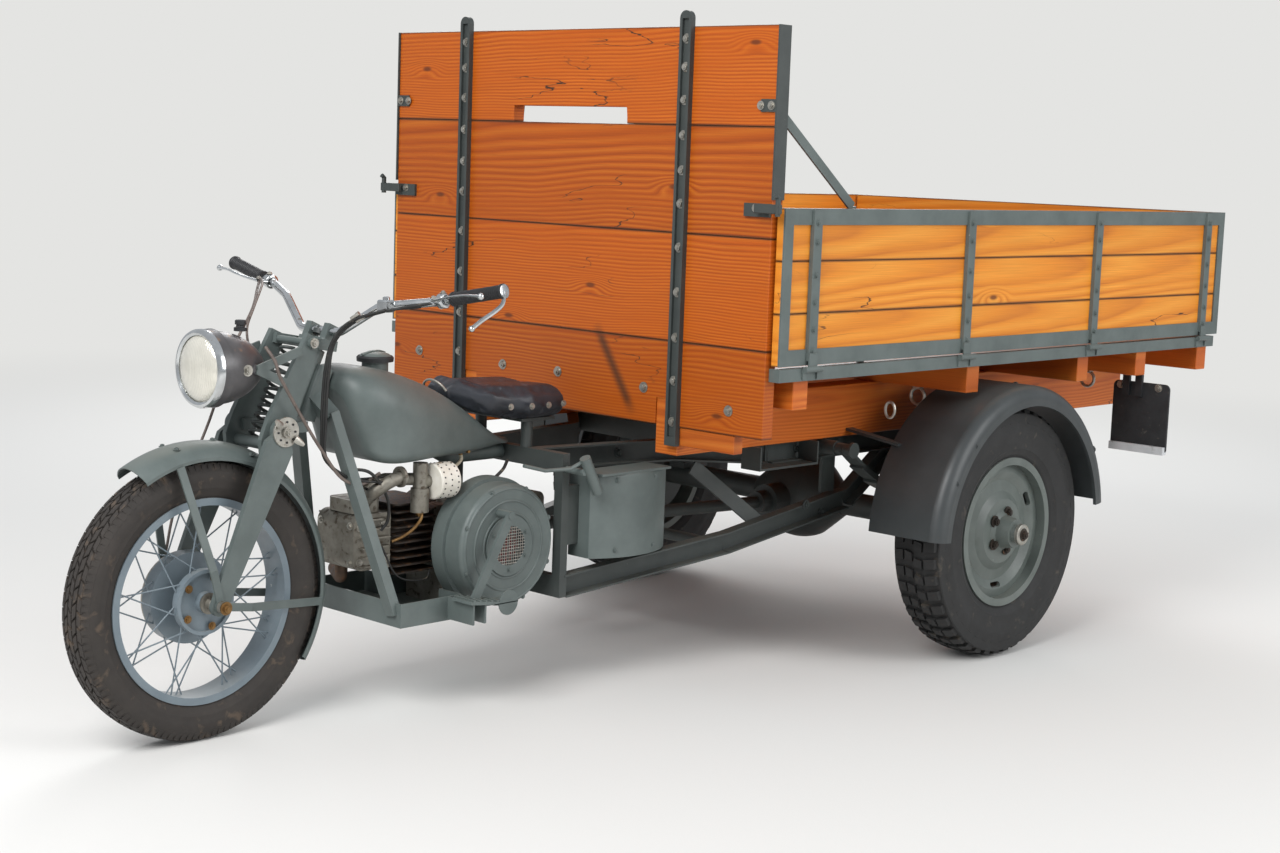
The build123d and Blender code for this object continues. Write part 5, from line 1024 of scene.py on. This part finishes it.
# Levers and switches on the handlebar: cast perches clamped to the tube with a slotted screw,
# polished blades with ball ends, an inverted lever in the left end and a small chromed switch box.
BAR = [Vector(point) for point in ((0.075, -1.2222, 0.979), (0.190, -1.186, 1.052), (0.330, -1.124, 1.072),
                                   (0.543, -1.100, 1.113))]
for word, side in (("left", 1), ("right", -1)):
    def mirrored(x, y, z):
        return Vector((side * x, y, z))
    built = bmesh.new()
    way = (mirrored(0.543, -1.100, 1.113) - mirrored(0.330, -1.124, 1.072)).normalized()
    turned(built, mirrored(0.338, -1.1231, 1.0736), way, [(0, 0.0125), (0, 0.017), (0.002, 0.019), (0.020, 0.019),
                                                        (0.022, 0.017), (0.022, 0.0125), (0, 0.0125)], 28)
    swept(built, smooth_path([mirrored(0.345, -1.136, 1.074), mirrored(0.347, -1.148, 1.075), mirrored(0.352, -1.158, 1.077)]),
          0.0085, 12, 0.8, (0, 0, 1))
    blade = smooth_path([mirrored(0.352, -1.156, 1.077), mirrored(0.390, -1.168, 1.084), mirrored(0.430, -1.173, 1.092),
                         mirrored(0.475, -1.168, 1.099), mirrored(0.520, -1.160, 1.100)])
    shape = [0.0085 - 0.0025 * sin(pi * step / (len(blade) - 1)) for step in range(len(blade))]
    swept(built, blade, shape, 12, 0.5, (0, 0, 1))
    bmesh.ops.create_uvsphere(built, u_segments=16, v_segments=10, radius=0.0085,
                              matrix=Matrix.Translation(mirrored(0.524, -1.159, 1.100)))
    finished(f"clutch_and_brake_perch_{word}", built, chrome, "fork",
             ["hand_levers"] if side > 0 else (), sharp=50)
    fasteners(f"perch_screws_{word}", [(mirrored(0.352, -1.156, 1.083), Vector((0, 0, 1))),
                                       (mirrored(0.349, -1.1235, 1.0945), Vector((0, 0, 1)))], 0.0055, plated_steel,
              "fork", 12)
    # Bar end: a chromed plug on both sides
    built = bmesh.new()
    turned(built, mirrored(0.5400, -1.1003, 1.1124), way, [(0, 0), (0, 0.0165), (0.003, 0.0165), (0.004, 0.013), (0.004, 0)], 28)
    finished(f"bar_end_{word}", built, chrome, "fork")
built = bmesh.new()
swept(built, smooth_path([(0.541, -1.1000, 1.1128), (0.541, -1.1010, 1.098), (0.538, -1.104, 1.080), (0.520, -1.112, 1.062),
                          (0.492, -1.125, 1.040), (0.470, -1.135, 1.020)]), 0.0062, 12, 0.6, (0, 1, 0))
bmesh.ops.create_uvsphere(built, u_segments=16, v_segments=10, radius=0.0078,
                          matrix=Matrix.Translation((0.469, -1.1355, 1.019)))
finished("inverted_lever", built, chrome, "fork", sharp=50)
built = bmesh.new()
block(built, (0.196, -1.205, 1.040), (0.232, -1.172, 1.070), 0.004)
turned(built, (0.214, -1.188, 1.068), (0, 0, 1), [(0, 0), (0, 0.009), (0.008, 0.009), (0.010, 0.006), (0.010, 0)], 20)
finished("dip_switch", built, chrome, "fork")

# Control cables and wires: black and grey-brown sheaths with plated adjusters. They leave the levers,
# run in front of the head and down beside it, and reach the engine.
def cable(name, points, radius, material, crossing=None):
    """A sheathed cable on the fork, or, when crossing is given, one left unattached where it is built."""
    built = bmesh.new()
    path = smooth_path(points, 10)
    swept(built, path, radius, 10)
    bmesh.ops.recalc_face_normals(built, faces=built.faces)
    mesh = bpy.data.meshes.new(name)
    built.to_mesh(mesh)
    built.free()
    mesh.shade_smooth()
    mesh.set_sharp_from_angle(angle=radians(50))
    mesh.materials.append(material)
    piece = bpy.data.objects.new(name, mesh)
    scene.collection.objects.link(piece)
    if crossing:
        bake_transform(piece)
    else:
        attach(piece, "fork")
    return path


CROSSING = ((0.10, -1.262, 0.90), (0.09, -1.275, 0.66))
for number, (start, lift, end) in enumerate((((0.340, -1.150, 1.070), 0.000, (0.118, -1.105, 0.600)),
                                             ((0.300, -1.150, 1.058), 0.009, (0.100, -1.060, 0.610)),
                                             ((0.215, -1.200, 1.042), 0.018, (0.070, -1.090, 0.560)))):
    cable(f"control_cable_{number}", [start, (0.230, -1.195 - lift, 1.045), (0.150, -1.232 - lift, 1.012),
                                      (0.110, -1.262 - lift / 2, 0.960), (0.101 - lift / 2, -1.272 - lift / 3, 0.880),
                                      (0.098 - lift / 2, -1.276 - lift / 3, 0.760), (0.096 - lift / 2, -1.270, 0.670),
                                      (0.104 - lift / 2, -1.200, 0.616), end], 0.0036, cable_sheath, CROSSING)
cable("lamp_lead", [(0.088, -1.452, 0.955), (0.112, -1.440, 0.920), (0.114, -1.425, 0.880), (0.112, -1.355, 0.775),
                    (0.110, -1.300, 0.700), (0.110, -1.235, 0.622), (0.108, -1.170, 0.600), (0.106, -1.110, 0.622)],
      0.0042, grey_sheath, ((0.11, -1.33, 0.74), (0.11, -1.24, 0.63)))
cable("front_brake_cable", [(-0.345, -1.160, 1.076), (-0.250, -1.235, 1.062), (-0.140, -1.330, 1.020),
                            (-0.105, -1.415, 0.920), (-0.112, -1.470, 0.760), (-0.118, -1.560, 0.560), (-0.105, -1.600, 0.440)],
      0.0036, grey_sheath)
cable("throttle_cable_upper", [(-0.375, -1.140, 1.083), (-0.255, -1.215, 1.078), (-0.130, -1.330, 1.030),
                               (-0.060, -1.400, 0.985), (-0.050, -1.400, 0.930)], 0.0032, grey_sheath)
built = bmesh.new()
for place, way in (((0.160, -1.236, 1.014), (0.10, 0.05, 0.08)), ((0.152, -1.246, 1.020), (0.10, 0.05, 0.08))):
    turned(built, place, way, [(0, 0), (0, 0.0048), (0.018, 0.0048), (0.018, 0.0062), (0.026, 0.0062), (0.026, 0)], 14)
finished("cable_adjusters", built, plated_steel, "fork")

# Fuel tank: a welded teardrop with a filler collar, a rubber ring round it and a domed cap with its lever.
low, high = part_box("fuel_tank")
CAP = Vector((0, -1.046, high.z))
built = bmesh.new()
turned(built, CAP, (0, 0, 1), [(-0.012, 0.0425), (-0.012, 0.047), (-0.002, 0.048), (0.003, 0.044), (0.003, 0.0425), (-0.012, 0.0425)], 48)
finished("filler_gasket", built, black_rubber_and_hole_shade, "chassis")
built = bmesh.new()
turned(built, CAP, (0, 0, 1), [(-0.003, 0), (-0.003, 0.041), (0.002, 0.0415), (0.007, 0.036), (0.011, 0.024), (0.013, 0.010),
                               (0.0135, 0)], 48)
swept(built, smooth_path([CAP + Vector(place) for place in ((0.0, 0.030, 0.010), (0.0, 0.010, 0.0145), (0.0, -0.020, 0.013),
                                                            (0.0, -0.042, 0.006))]), 0.005, 12, 0.5, (0, 0, 1))
finished("filler_cap", built, frame_paint, "chassis")

# Saddle: a black leather pad on a sprung frame, stitched round its edge and studded at the back.
# It is filled and swells between its seams and the rim is turned under; a pale plated bead across the nose paints the
# highlight on its rolled leather edge.
# The pale blue-grey tone given as this leather's dirt is a painted sheen, laid in patches and more on the level top.
leather = weathered("black_saddle_leather_painted_sheen", "#2E3138", "#24262B", "#5B5F66", 0.0, 0.34, 0.52, 0.07, 0.66, 0.0016, 0.0005)
PAD_PUSH = 0.010


def stuffed_saddle():
    """Swells a copy of the saddle's solid with cloth pressure and keeps the result as a plain mesh."""
    built = bmesh.new()
    built.from_mesh(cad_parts["saddle"].data)
    bmesh.ops.remove_doubles(built, verts=built.verts, dist=1e-5)
    middle = sum((vert.co for vert in built.verts), Vector()) / len(built.verts)
    for vert in built.verts:
        vert.co.x *= 0.965
        vert.co.z = middle.z + (vert.co.z - middle.z) * 0.90 + 0.001
        vert.co.y = middle.y + (vert.co.y - middle.y) * 0.975
    mesh = bpy.data.meshes.new("saddle_pad")
    built.to_mesh(mesh)
    built.free()
    pad = bpy.data.objects.new("saddle_pad", mesh)
    scene.collection.objects.link(pad)
    remesh = pad.modifiers.new("even", "REMESH")
    remesh.mode = "VOXEL"
    remesh.voxel_size = 0.006
    even = bpy.data.meshes.new_from_object(pad.evaluated_get(bpy.context.evaluated_depsgraph_get()))
    pad.modifiers.clear()
    pad.data = even
    start = [vert.co.copy() for vert in even.vertices]
    cloth = pad.modifiers.new("swell", "CLOTH")
    cloth.settings.use_pressure = True
    cloth.settings.uniform_pressure_force = 4.0
    cloth.settings.effector_weights.gravity = 0.0
    for number in range(1, 21):
        scene.frame_set(number)
    swollen = pad.evaluated_get(bpy.context.evaluated_depsgraph_get())
    moved = [vert.co.copy() for vert in swollen.data.vertices]
    pad.modifiers.clear()
    scene.frame_set(1)
    for vert, first, last in zip(even.vertices, start, moved):
        push = last - first
        vert.co = first + (push if push.length < PAD_PUSH else push.normalized() * PAD_PUSH)
    low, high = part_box("saddle")
    # Crown and seam: the top is pressed in along its middle and along the stitched edge
    for vert in even.vertices:
        along = (vert.co.y - low.y) / (high.y - low.y)
        half = 0.042 + 0.115 * min(1.0, max(0.0, (along - 0.02) / 0.45)) ** 0.8
        share = abs(vert.co.x) / max(half, 0.01)
        if vert.co.z > middle.z:
            vert.co.z -= 0.0045 * max(0.0, 1 - abs(share - 0.80) / 0.10) + 0.004 * max(0.0, 1 - share / 0.5) ** 2
        for axis in range(3):
            vert.co[axis] = min(max(vert.co[axis], low[axis] + 0.0005), high[axis] + 0.004)
    even.shade_smooth()
    finish = pad.modifiers.new("smooth", "SUBSURF")
    finish.levels = 1
    finish.render_levels = 1
    even.materials.append(leather)
    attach(pad, "chassis")
    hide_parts("saddle")


stuffed_saddle()
low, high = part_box("saddle")
rim_spots = met("saddle", [(0.3, y, 0.768) for y in (-0.70, -0.64, -0.58, -0.52)], (-1, 0, 0))
rim_spots += met("saddle", [(-0.3, y, 0.768) for y in (-0.70, -0.64, -0.58, -0.52)], (1, 0, 0))
rim_spots += met("saddle", [(x, -0.3, 0.768) for x in (-0.10, -0.035, 0.035, 0.10)], (0, -1, 0))
fasteners("saddle_studs", [(place + way * 0.004, way) for place, way in rim_spots], 0.0058, plated_steel, "chassis", 12)
# Painted highlight: a pale plated bead along the rolled leather edge of the nose.
built = bmesh.new()
swept(built, smooth_path([(0.045, -0.842, 0.808), (0.036, -0.850, 0.822), (0.018, -0.855, 0.832), (0.0, -0.857, 0.835),
                          (-0.018, -0.855, 0.832), (-0.036, -0.850, 0.822), (-0.045, -0.842, 0.808)]), 0.0035, 8)
finished("saddle_nose_highlight_bead", built, plated_steel, "chassis")

# Engine: cast aluminium crankcase and head, an iron cylinder with its fins, and pipes and wires round them.
# The inlet is a bent light alloy pipe; the fuel comes by a clear hose and a copper pipe; all are bolted.
spots = met("engine_crankcase", [(0.3, -0.60 - 0.09 * number, z) for number in range(4) for z in (0.30, 0.48)], (-1, 0, 0))
spots += met("engine_head", [(x, -1.3, z) for x in (-0.06, 0.06) for z in (0.39, 0.485)], (0, 1, 0))
spots += met("engine_head", [(0.3, y, z) for y in (-1.145, -1.070) for z in (0.39, 0.48)], (-1, 0, 0))
spots += met("engine_crankcase", [(-0.3, -0.60 - 0.09 * number, z) for number in range(4) for z in (0.30, 0.48)], (1, 0, 0))
fasteners("engine_bolts", spots, 0.0065, plated_steel, "chassis")
built = bmesh.new()
swept(built, smooth_path([(0.118, -1.040, 0.610), (0.118, -1.085, 0.600), (0.100, -1.118, 0.575), (0.070, -1.128, 0.545),
                          (0.055, -1.128, 0.520)]), 0.017, 20)
turned(built, (0.117, -1.048, 0.609), (0, -1, 0), [(0, 0), (0, 0.027), (0.008, 0.027), (0.008, 0)], 24)
finished("inlet_elbow", built, cast_aluminium, "chassis")
built = bmesh.new()
swept(built, smooth_path([(0.126, -0.986, 0.512), (0.128, -0.990, 0.495), (0.118, -1.005, 0.470), (0.105, -1.030, 0.450),
                          (0.098, -1.060, 0.440)]), 0.004, 10)
finished("copper_pipe", built, brass, "chassis")
fasteners("bowl_union", [((0.116, -0.985, 0.511), Vector((0, 0, -1)))], 0.009, brass, "chassis")
built = bmesh.new()
turned(built, (0.060, -0.800, 0.668), (0, 0, -1), [(0, 0), (0, 0.009), (0.012, 0.009), (0.014, 0.006), (0.030, 0.006), (0.030, 0)], 16)
turned(built, (0.060, -0.800, 0.650), (1, 0, 0), [(-0.014, 0), (-0.014, 0.006), (0.018, 0.006), (0.020, 0.004), (0.034, 0.004),
                                                (0.034, 0)], 16)
finished("fuel_tap", built, brass, "chassis")


def hose(name, points, radius, material):
    """A short pipe or wire that stays on the frame."""
    built = bmesh.new()
    swept(built, smooth_path(points, 8), radius, 10)
    finished(name, built, material, "chassis", sharp=50)


clear_hose = weathered("clouded_fuel_hose", "#C9C2AE", "#B5AC94", "#7F7356", 0.0, 0.25, 0.4, 0.03, 0.66, 0.001, 0.0001)
hose("fuel_hose", [(0.060, -0.800, 0.642), (0.062, -0.802, 0.622), (0.085, -0.860, 0.606), (0.108, -0.925, 0.612),
                   (0.116, -0.962, 0.604)], 0.0048, clear_hose)
hose("coil_lead", [(0.100, -1.215, 0.640), (0.118, -1.150, 0.628), (0.112, -1.090, 0.560), (0.100, -1.075, 0.500),
                   (0.090, -1.090, 0.470)], 0.0042, cable_sheath)
hose("breather_hose", [(0.135, -0.700, 0.625), (0.150, -0.735, 0.600), (0.150, -0.800, 0.565), (0.142, -0.880, 0.555),
                       (0.128, -0.950, 0.560)], 0.0045, cable_sheath)
hose("earth_wire", [(0.095, -1.090, 0.430), (0.112, -1.050, 0.350), (0.110, -0.960, 0.330), (0.098, -0.930, 0.350)],
     0.0025, cable_sheath)
# White air filter: a drum with rows of round holes and a scalloped rear edge
low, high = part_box("air_filter")
FILTER = (low + high) / 2
dress("air_filter", white_enamel)
# The holes are black discs that paint the shade inside the drum.
spots = []
for row in range(3):
    for number in range(20):
        turn = 2 * pi * (number + row / 2) / 20
        way = Vector((cos(turn), 0, sin(turn)))
        radius = (high.x - low.x) / 2
        spots.append((FILTER + way * (radius - 0.0008) + Vector((0, -0.022 + 0.022 * row, 0)), way))
fasteners("filter_hole_shade_discs", spots, 0.0022, black_rubber_and_hole_shade, "chassis", 8)

# Cooling fan drum: a pressed case with stepped rings round its inlet, and a wire grid over the red fan.
# The case is bolted round its rim.
INLET = Vector((0.230, -0.776, 0.418))
built = bmesh.new()
for radius, lift in ((0.150, 0.000), (0.118, 0.002), (0.086, 0.004)):
    reach = met("fan_drum", [(0.4, INLET.y, INLET.z + radius)], (-1, 0, 0))
    face = reach[0][0].x if reach else INLET.x
    turned(built, (face - 0.0015, INLET.y, INLET.z), (1, 0, 0),
           [(0, radius - 0.004), (0.0030, radius - 0.003), (0.0042, radius), (0.0030, radius + 0.003), (0, radius + 0.004),
            (0, radius - 0.004)], 72)
finished("fan_case_rings", built, frame_paint, "chassis", sharp=60)
built = bmesh.new()
turned(built, INLET - Vector((0.022, 0, 0)), (1, 0, 0), [(0, 0), (0, 0.053), (0.002, 0.053), (0.002, 0.018), (0.010, 0.014), (0.010, 0)], 48)
finished("fan_disc", built, red_mesh, "chassis")
built = bmesh.new()
for step in range(-6, 7):
    offset = step * 0.0078
    half = sqrt(max(0.0, 0.0535 ** 2 - offset ** 2))
    swept(built, [INLET + Vector((0.0035, offset, -half)), INLET + Vector((0.0035, offset, half))], 0.0009, 6)
    swept(built, [INLET + Vector((0.0050, -half, offset)), INLET + Vector((0.0050, half, offset))], 0.0009, 6)
finished("fan_grid", built, plated_steel, "chassis")
spots = met("fan_drum", [(0.4, INLET.y + 0.064 * sin(turn), INLET.z + 0.064 * cos(turn))
                         for turn in (2 * pi * number / 6 for number in range(6))], (-1, 0, 0))
spots += met("fan_drum", [(0.4, INLET.y + 0.155 * sin(turn), INLET.z + 0.155 * cos(turn))
                          for turn in (2 * pi * (number + 0.5) / 8 for number in range(8))], (-1, 0, 0))
fasteners("fan_case_screws", spots, 0.0048, frame_paint, "chassis")

# Foot pedal: a ribbed pad with a heel plate behind it, folded up into a half-round guard.
built = bmesh.new()
block(built, (0.242, -0.890, 0.2865), (0.306, -0.806, 0.2905), 0.0008)
turned(built, (0.302, -0.840, 0.288), (1, 0, 0), [(0, 0), (0, 0.032), (0.0005, 0.0325), (0.0035, 0.0325), (0.004, 0.032), (0.004, 0)], 36)
finished("pedal_heel_plate", built, frame_paint, "chassis")

# Battery box: a round fronted sheet box with a lid, a rolled seam and a strap with its clasp.
built = bmesh.new()
low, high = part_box("battery_box")
block(built, (high.x - 0.050, low.y + 0.006, high.z - 0.004), (high.x - 0.006, high.y - 0.020, high.z + 0.003), 0.001)
finished("box_lid_step", built, frame_paint, "chassis")
spots = met("battery_box", [(0.5, y, z) for y in (-0.47, -0.33) for z in (0.575, 0.385)], (-1, 0, 0))
fasteners("box_screws", spots, 0.005, frame_paint, "chassis", 10)

# Rear wheels: pressed steel discs on five studs, with a pale ring where the hub end is turned bright.
# The studs and nuts are dark and oily, the mudguards are bolted through at their stays.
for word, side in (("left", 1), ("right", -1)):
    centre = Vector((side * 0.735, 0.721, 0.375))
    turns = [radians(72 * number + 18) for number in range(5)]
    starts = [(side * 1.0, centre.y + 0.058 * sin(turn), centre.z + 0.058 * cos(turn)) for turn in turns]
    fasteners(f"wheel_nuts_{word}", met(f"rear_wheel_{word}_disc", starts, (-side, 0, 0)), 0.0115, cast_iron,
              f"rear_wheel_{word}")
    hub_face = met(f"rear_wheel_{word}_disc", [(side * 1.0, centre.y, centre.z)], (-side, 0, 0))
    built = bmesh.new()
    turned(built, (hub_face[0][0].x - side * 0.012, centre.y, centre.z), (side, 0, 0),
           [(0, 0.0285), (0, 0.0315), (0.010, 0.0315), (0.0125, 0.029), (0.0125, 0.020), (0.009, 0.018), (0, 0.018), (0, 0.0285)], 40)
    finished(f"hub_end_{word}", built, plated_steel, f"rear_wheel_{word}")
    fasteners(f"hub_nut_{word}", [(hub_face[0][0] - Vector((side * 0.001, 0, 0)), Vector((side, 0, 0)))], 0.012, cast_iron,
              f"rear_wheel_{word}")
    starts = [(side * 1.2, y, z) for y, z in ((0.442, 0.661), (0.295, 0.695), (0.36, 0.56), (1.08, 0.60))]
    set_in = [(place - way * 0.0062, way) for place, way in met("rear_mudguards", starts, (-side, 0, 0))]
    fasteners(f"mudguard_bolts_{word}", set_in, 0.0075, guard_paint, "chassis", 12)
    top = [(side * 0.70, y, 1.2) for y in (0.60, 0.84)]
    fasteners(f"mudguard_top_bolts_{word}", met("rear_mudguards", top, (0, 0, -1)), 0.0075, guard_paint, "chassis",
              12)

# Headboard irons: rolled channels bolted through the boards, clips at the edges and coach bolts below.
# The bolt heads are zinc plated and have been painted round, so each shows pale on the grey.
heights = (1.745, 1.672, 1.587, 1.496, 1.405, 1.318, 1.203, 1.085, 0.965, 0.850, 0.740)
starts = [(side * 0.431, -0.8, z) for side in (-1, 1) for z in heights]
fasteners("headboard_channel_bolts", met("headboard_irons", starts, (0, 1, 0)), 0.0085, plated_steel, "chassis", 12)
starts = [(side * x, -0.8, z) for side in (-1, 1) for x in (0.725, 0.690) for z in (1.576, 1.318)]
fasteners("edge_clip_bolts", met("headboard_irons", starts, (0, 1, 0)), 0.0075, plated_steel, "chassis")
coach = [(-0.249, -0.3725, 0.828), (0.314, -0.3725, 0.820), (-0.02, -0.3725, 0.830), (-0.62, -0.3725, 0.835), (0.62, -0.3725, 0.790)]
fasteners("coach_bolts", [(Vector(place), Vector((0, -1, 0))) for place in coach], 0.0095, plated_steel, "chassis", 14)
built = bmesh.new()
for side in (-1, 1):
    # Gate catches: a bar hooked over the gate's top, with a ring handle
    block(built, (min(side * 0.700, side * 0.786), -0.402, 1.306), (max(side * 0.700, side * 0.786), -0.390, 1.330), 0.002)
    swept(built, [(side * 0.776, -0.396, 1.300), (side * 0.776, -0.396, 1.345), (side * 0.776, -0.405, 1.352)], 0.007, 12)
finished("gate_catches", built, chassis_paint, "chassis")

# Gate irons: each strap is bolted through the boards and its foot turns on a hinge bolt.
# The bolt heads are painted with the irons.
STRAPS = [-0.357 + share * 2.283 for share in (0.055, 0.358, 0.655, 0.951)]
for word, side in (("left", 1), ("right", -1)):
    starts = [(side * 1.2, y, z) for y in STRAPS for z in (1.285, 1.235, 1.150, 1.080, 1.010, 0.955)]
    fasteners(f"side_gate_{word}_bolts", met(f"side_gate_{word}_irons", starts, (-side, 0, 0)), 0.006, frame_paint,
              f"side_gate_{word}", 12)
tail_x = [-0.735 + share * 1.47 for share in (0.12, 0.5, 0.88)]
starts = [(x, 2.4, z) for x in tail_x for z in (1.285, 1.235, 1.150, 1.080, 1.010, 0.955)]
fasteners("tailgate_bolts", met("tailgate_irons", starts, (0, -1, 0)), 0.006, frame_paint, "tailgate", 12)

# Chassis joints: the rows of bolts through the splices and foot brackets.
# They are painted with the rails.
starts = [(1.0, y, z) for y, z in ((0.157, 0.470), (0.250, 0.448), (0.345, 0.415), (0.440, 0.392), (0.517, 0.370))]
spots = met("lower_rails", starts, (-1, 0, 0)) + met("lower_rails", [(-x, y, z) for x, y, z in starts], (1, 0, 0))
starts = [(1.0, y, 0.617) for y in (-0.53, -0.30, -0.10, 0.20, 0.60, 0.95, 1.40)]
spots += met("upper_rails", starts, (-1, 0, 0)) + met("upper_rails", [(-x, y, z) for x, y, z in starts], (1, 0, 0))
spots += met("chassis_frame", [(x, -0.8, z) for x in (-0.50, 0.50) for z in (0.62, 0.60)], (0, 1, 0))
fasteners("chassis_bolts", spots, 0.009, chassis_paint, "chassis")

# Rear mud flaps: black rubber sheets hung on two bolts each, with a pale strip along the foot.
low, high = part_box("mud_flaps")
built = bmesh.new()
for side in (-1, 1):
    inner, outer = sorted((side * 0.652, side * 0.848))
    block(built, (inner, low.y - 0.0015, low.z + 0.001), (outer, high.y + 0.0015, low.z + 0.026), 0.0008)
strip = weathered("pale_flap_strip", "#C4C6C8", "#AEB1B3", "#77716A", 0.0, 0.4, 0.55, 0.08, 0.62, 0.001, 0.0001)
finished("flap_strips", built, strip, "chassis")
starts = [(side * x, 1.2, 0.762) for side in (-1, 1) for x in (0.675, 0.812)]
fasteners("flap_bolts", met("mud_flaps", starts, (0, 1, 0)), 0.0085, plated_steel, "chassis", 14)
starts = [(side * x, 1.8, 0.762) for side in (-1, 1) for x in (0.675, 0.812)]
fasteners("flap_nuts", met("mud_flaps", starts, (0, -1, 0)), 0.0085, plated_steel, "chassis")

# Hooks under the bed: a plated ring for the rope on each side.
built = bmesh.new()
for side in (-1, 1):
    ring = [Vector((side * (0.700 + 0.016 * cos(turn)), 0.219, 0.763 + 0.022 * sin(turn)))
            for turn in (2 * pi * step / 28 for step in range(28))]
    swept(built, ring + [ring[0] + Vector((0, 0.0001, 0))], 0.0042, 8)
finished("rope_rings", built, plated_steel, "chassis")
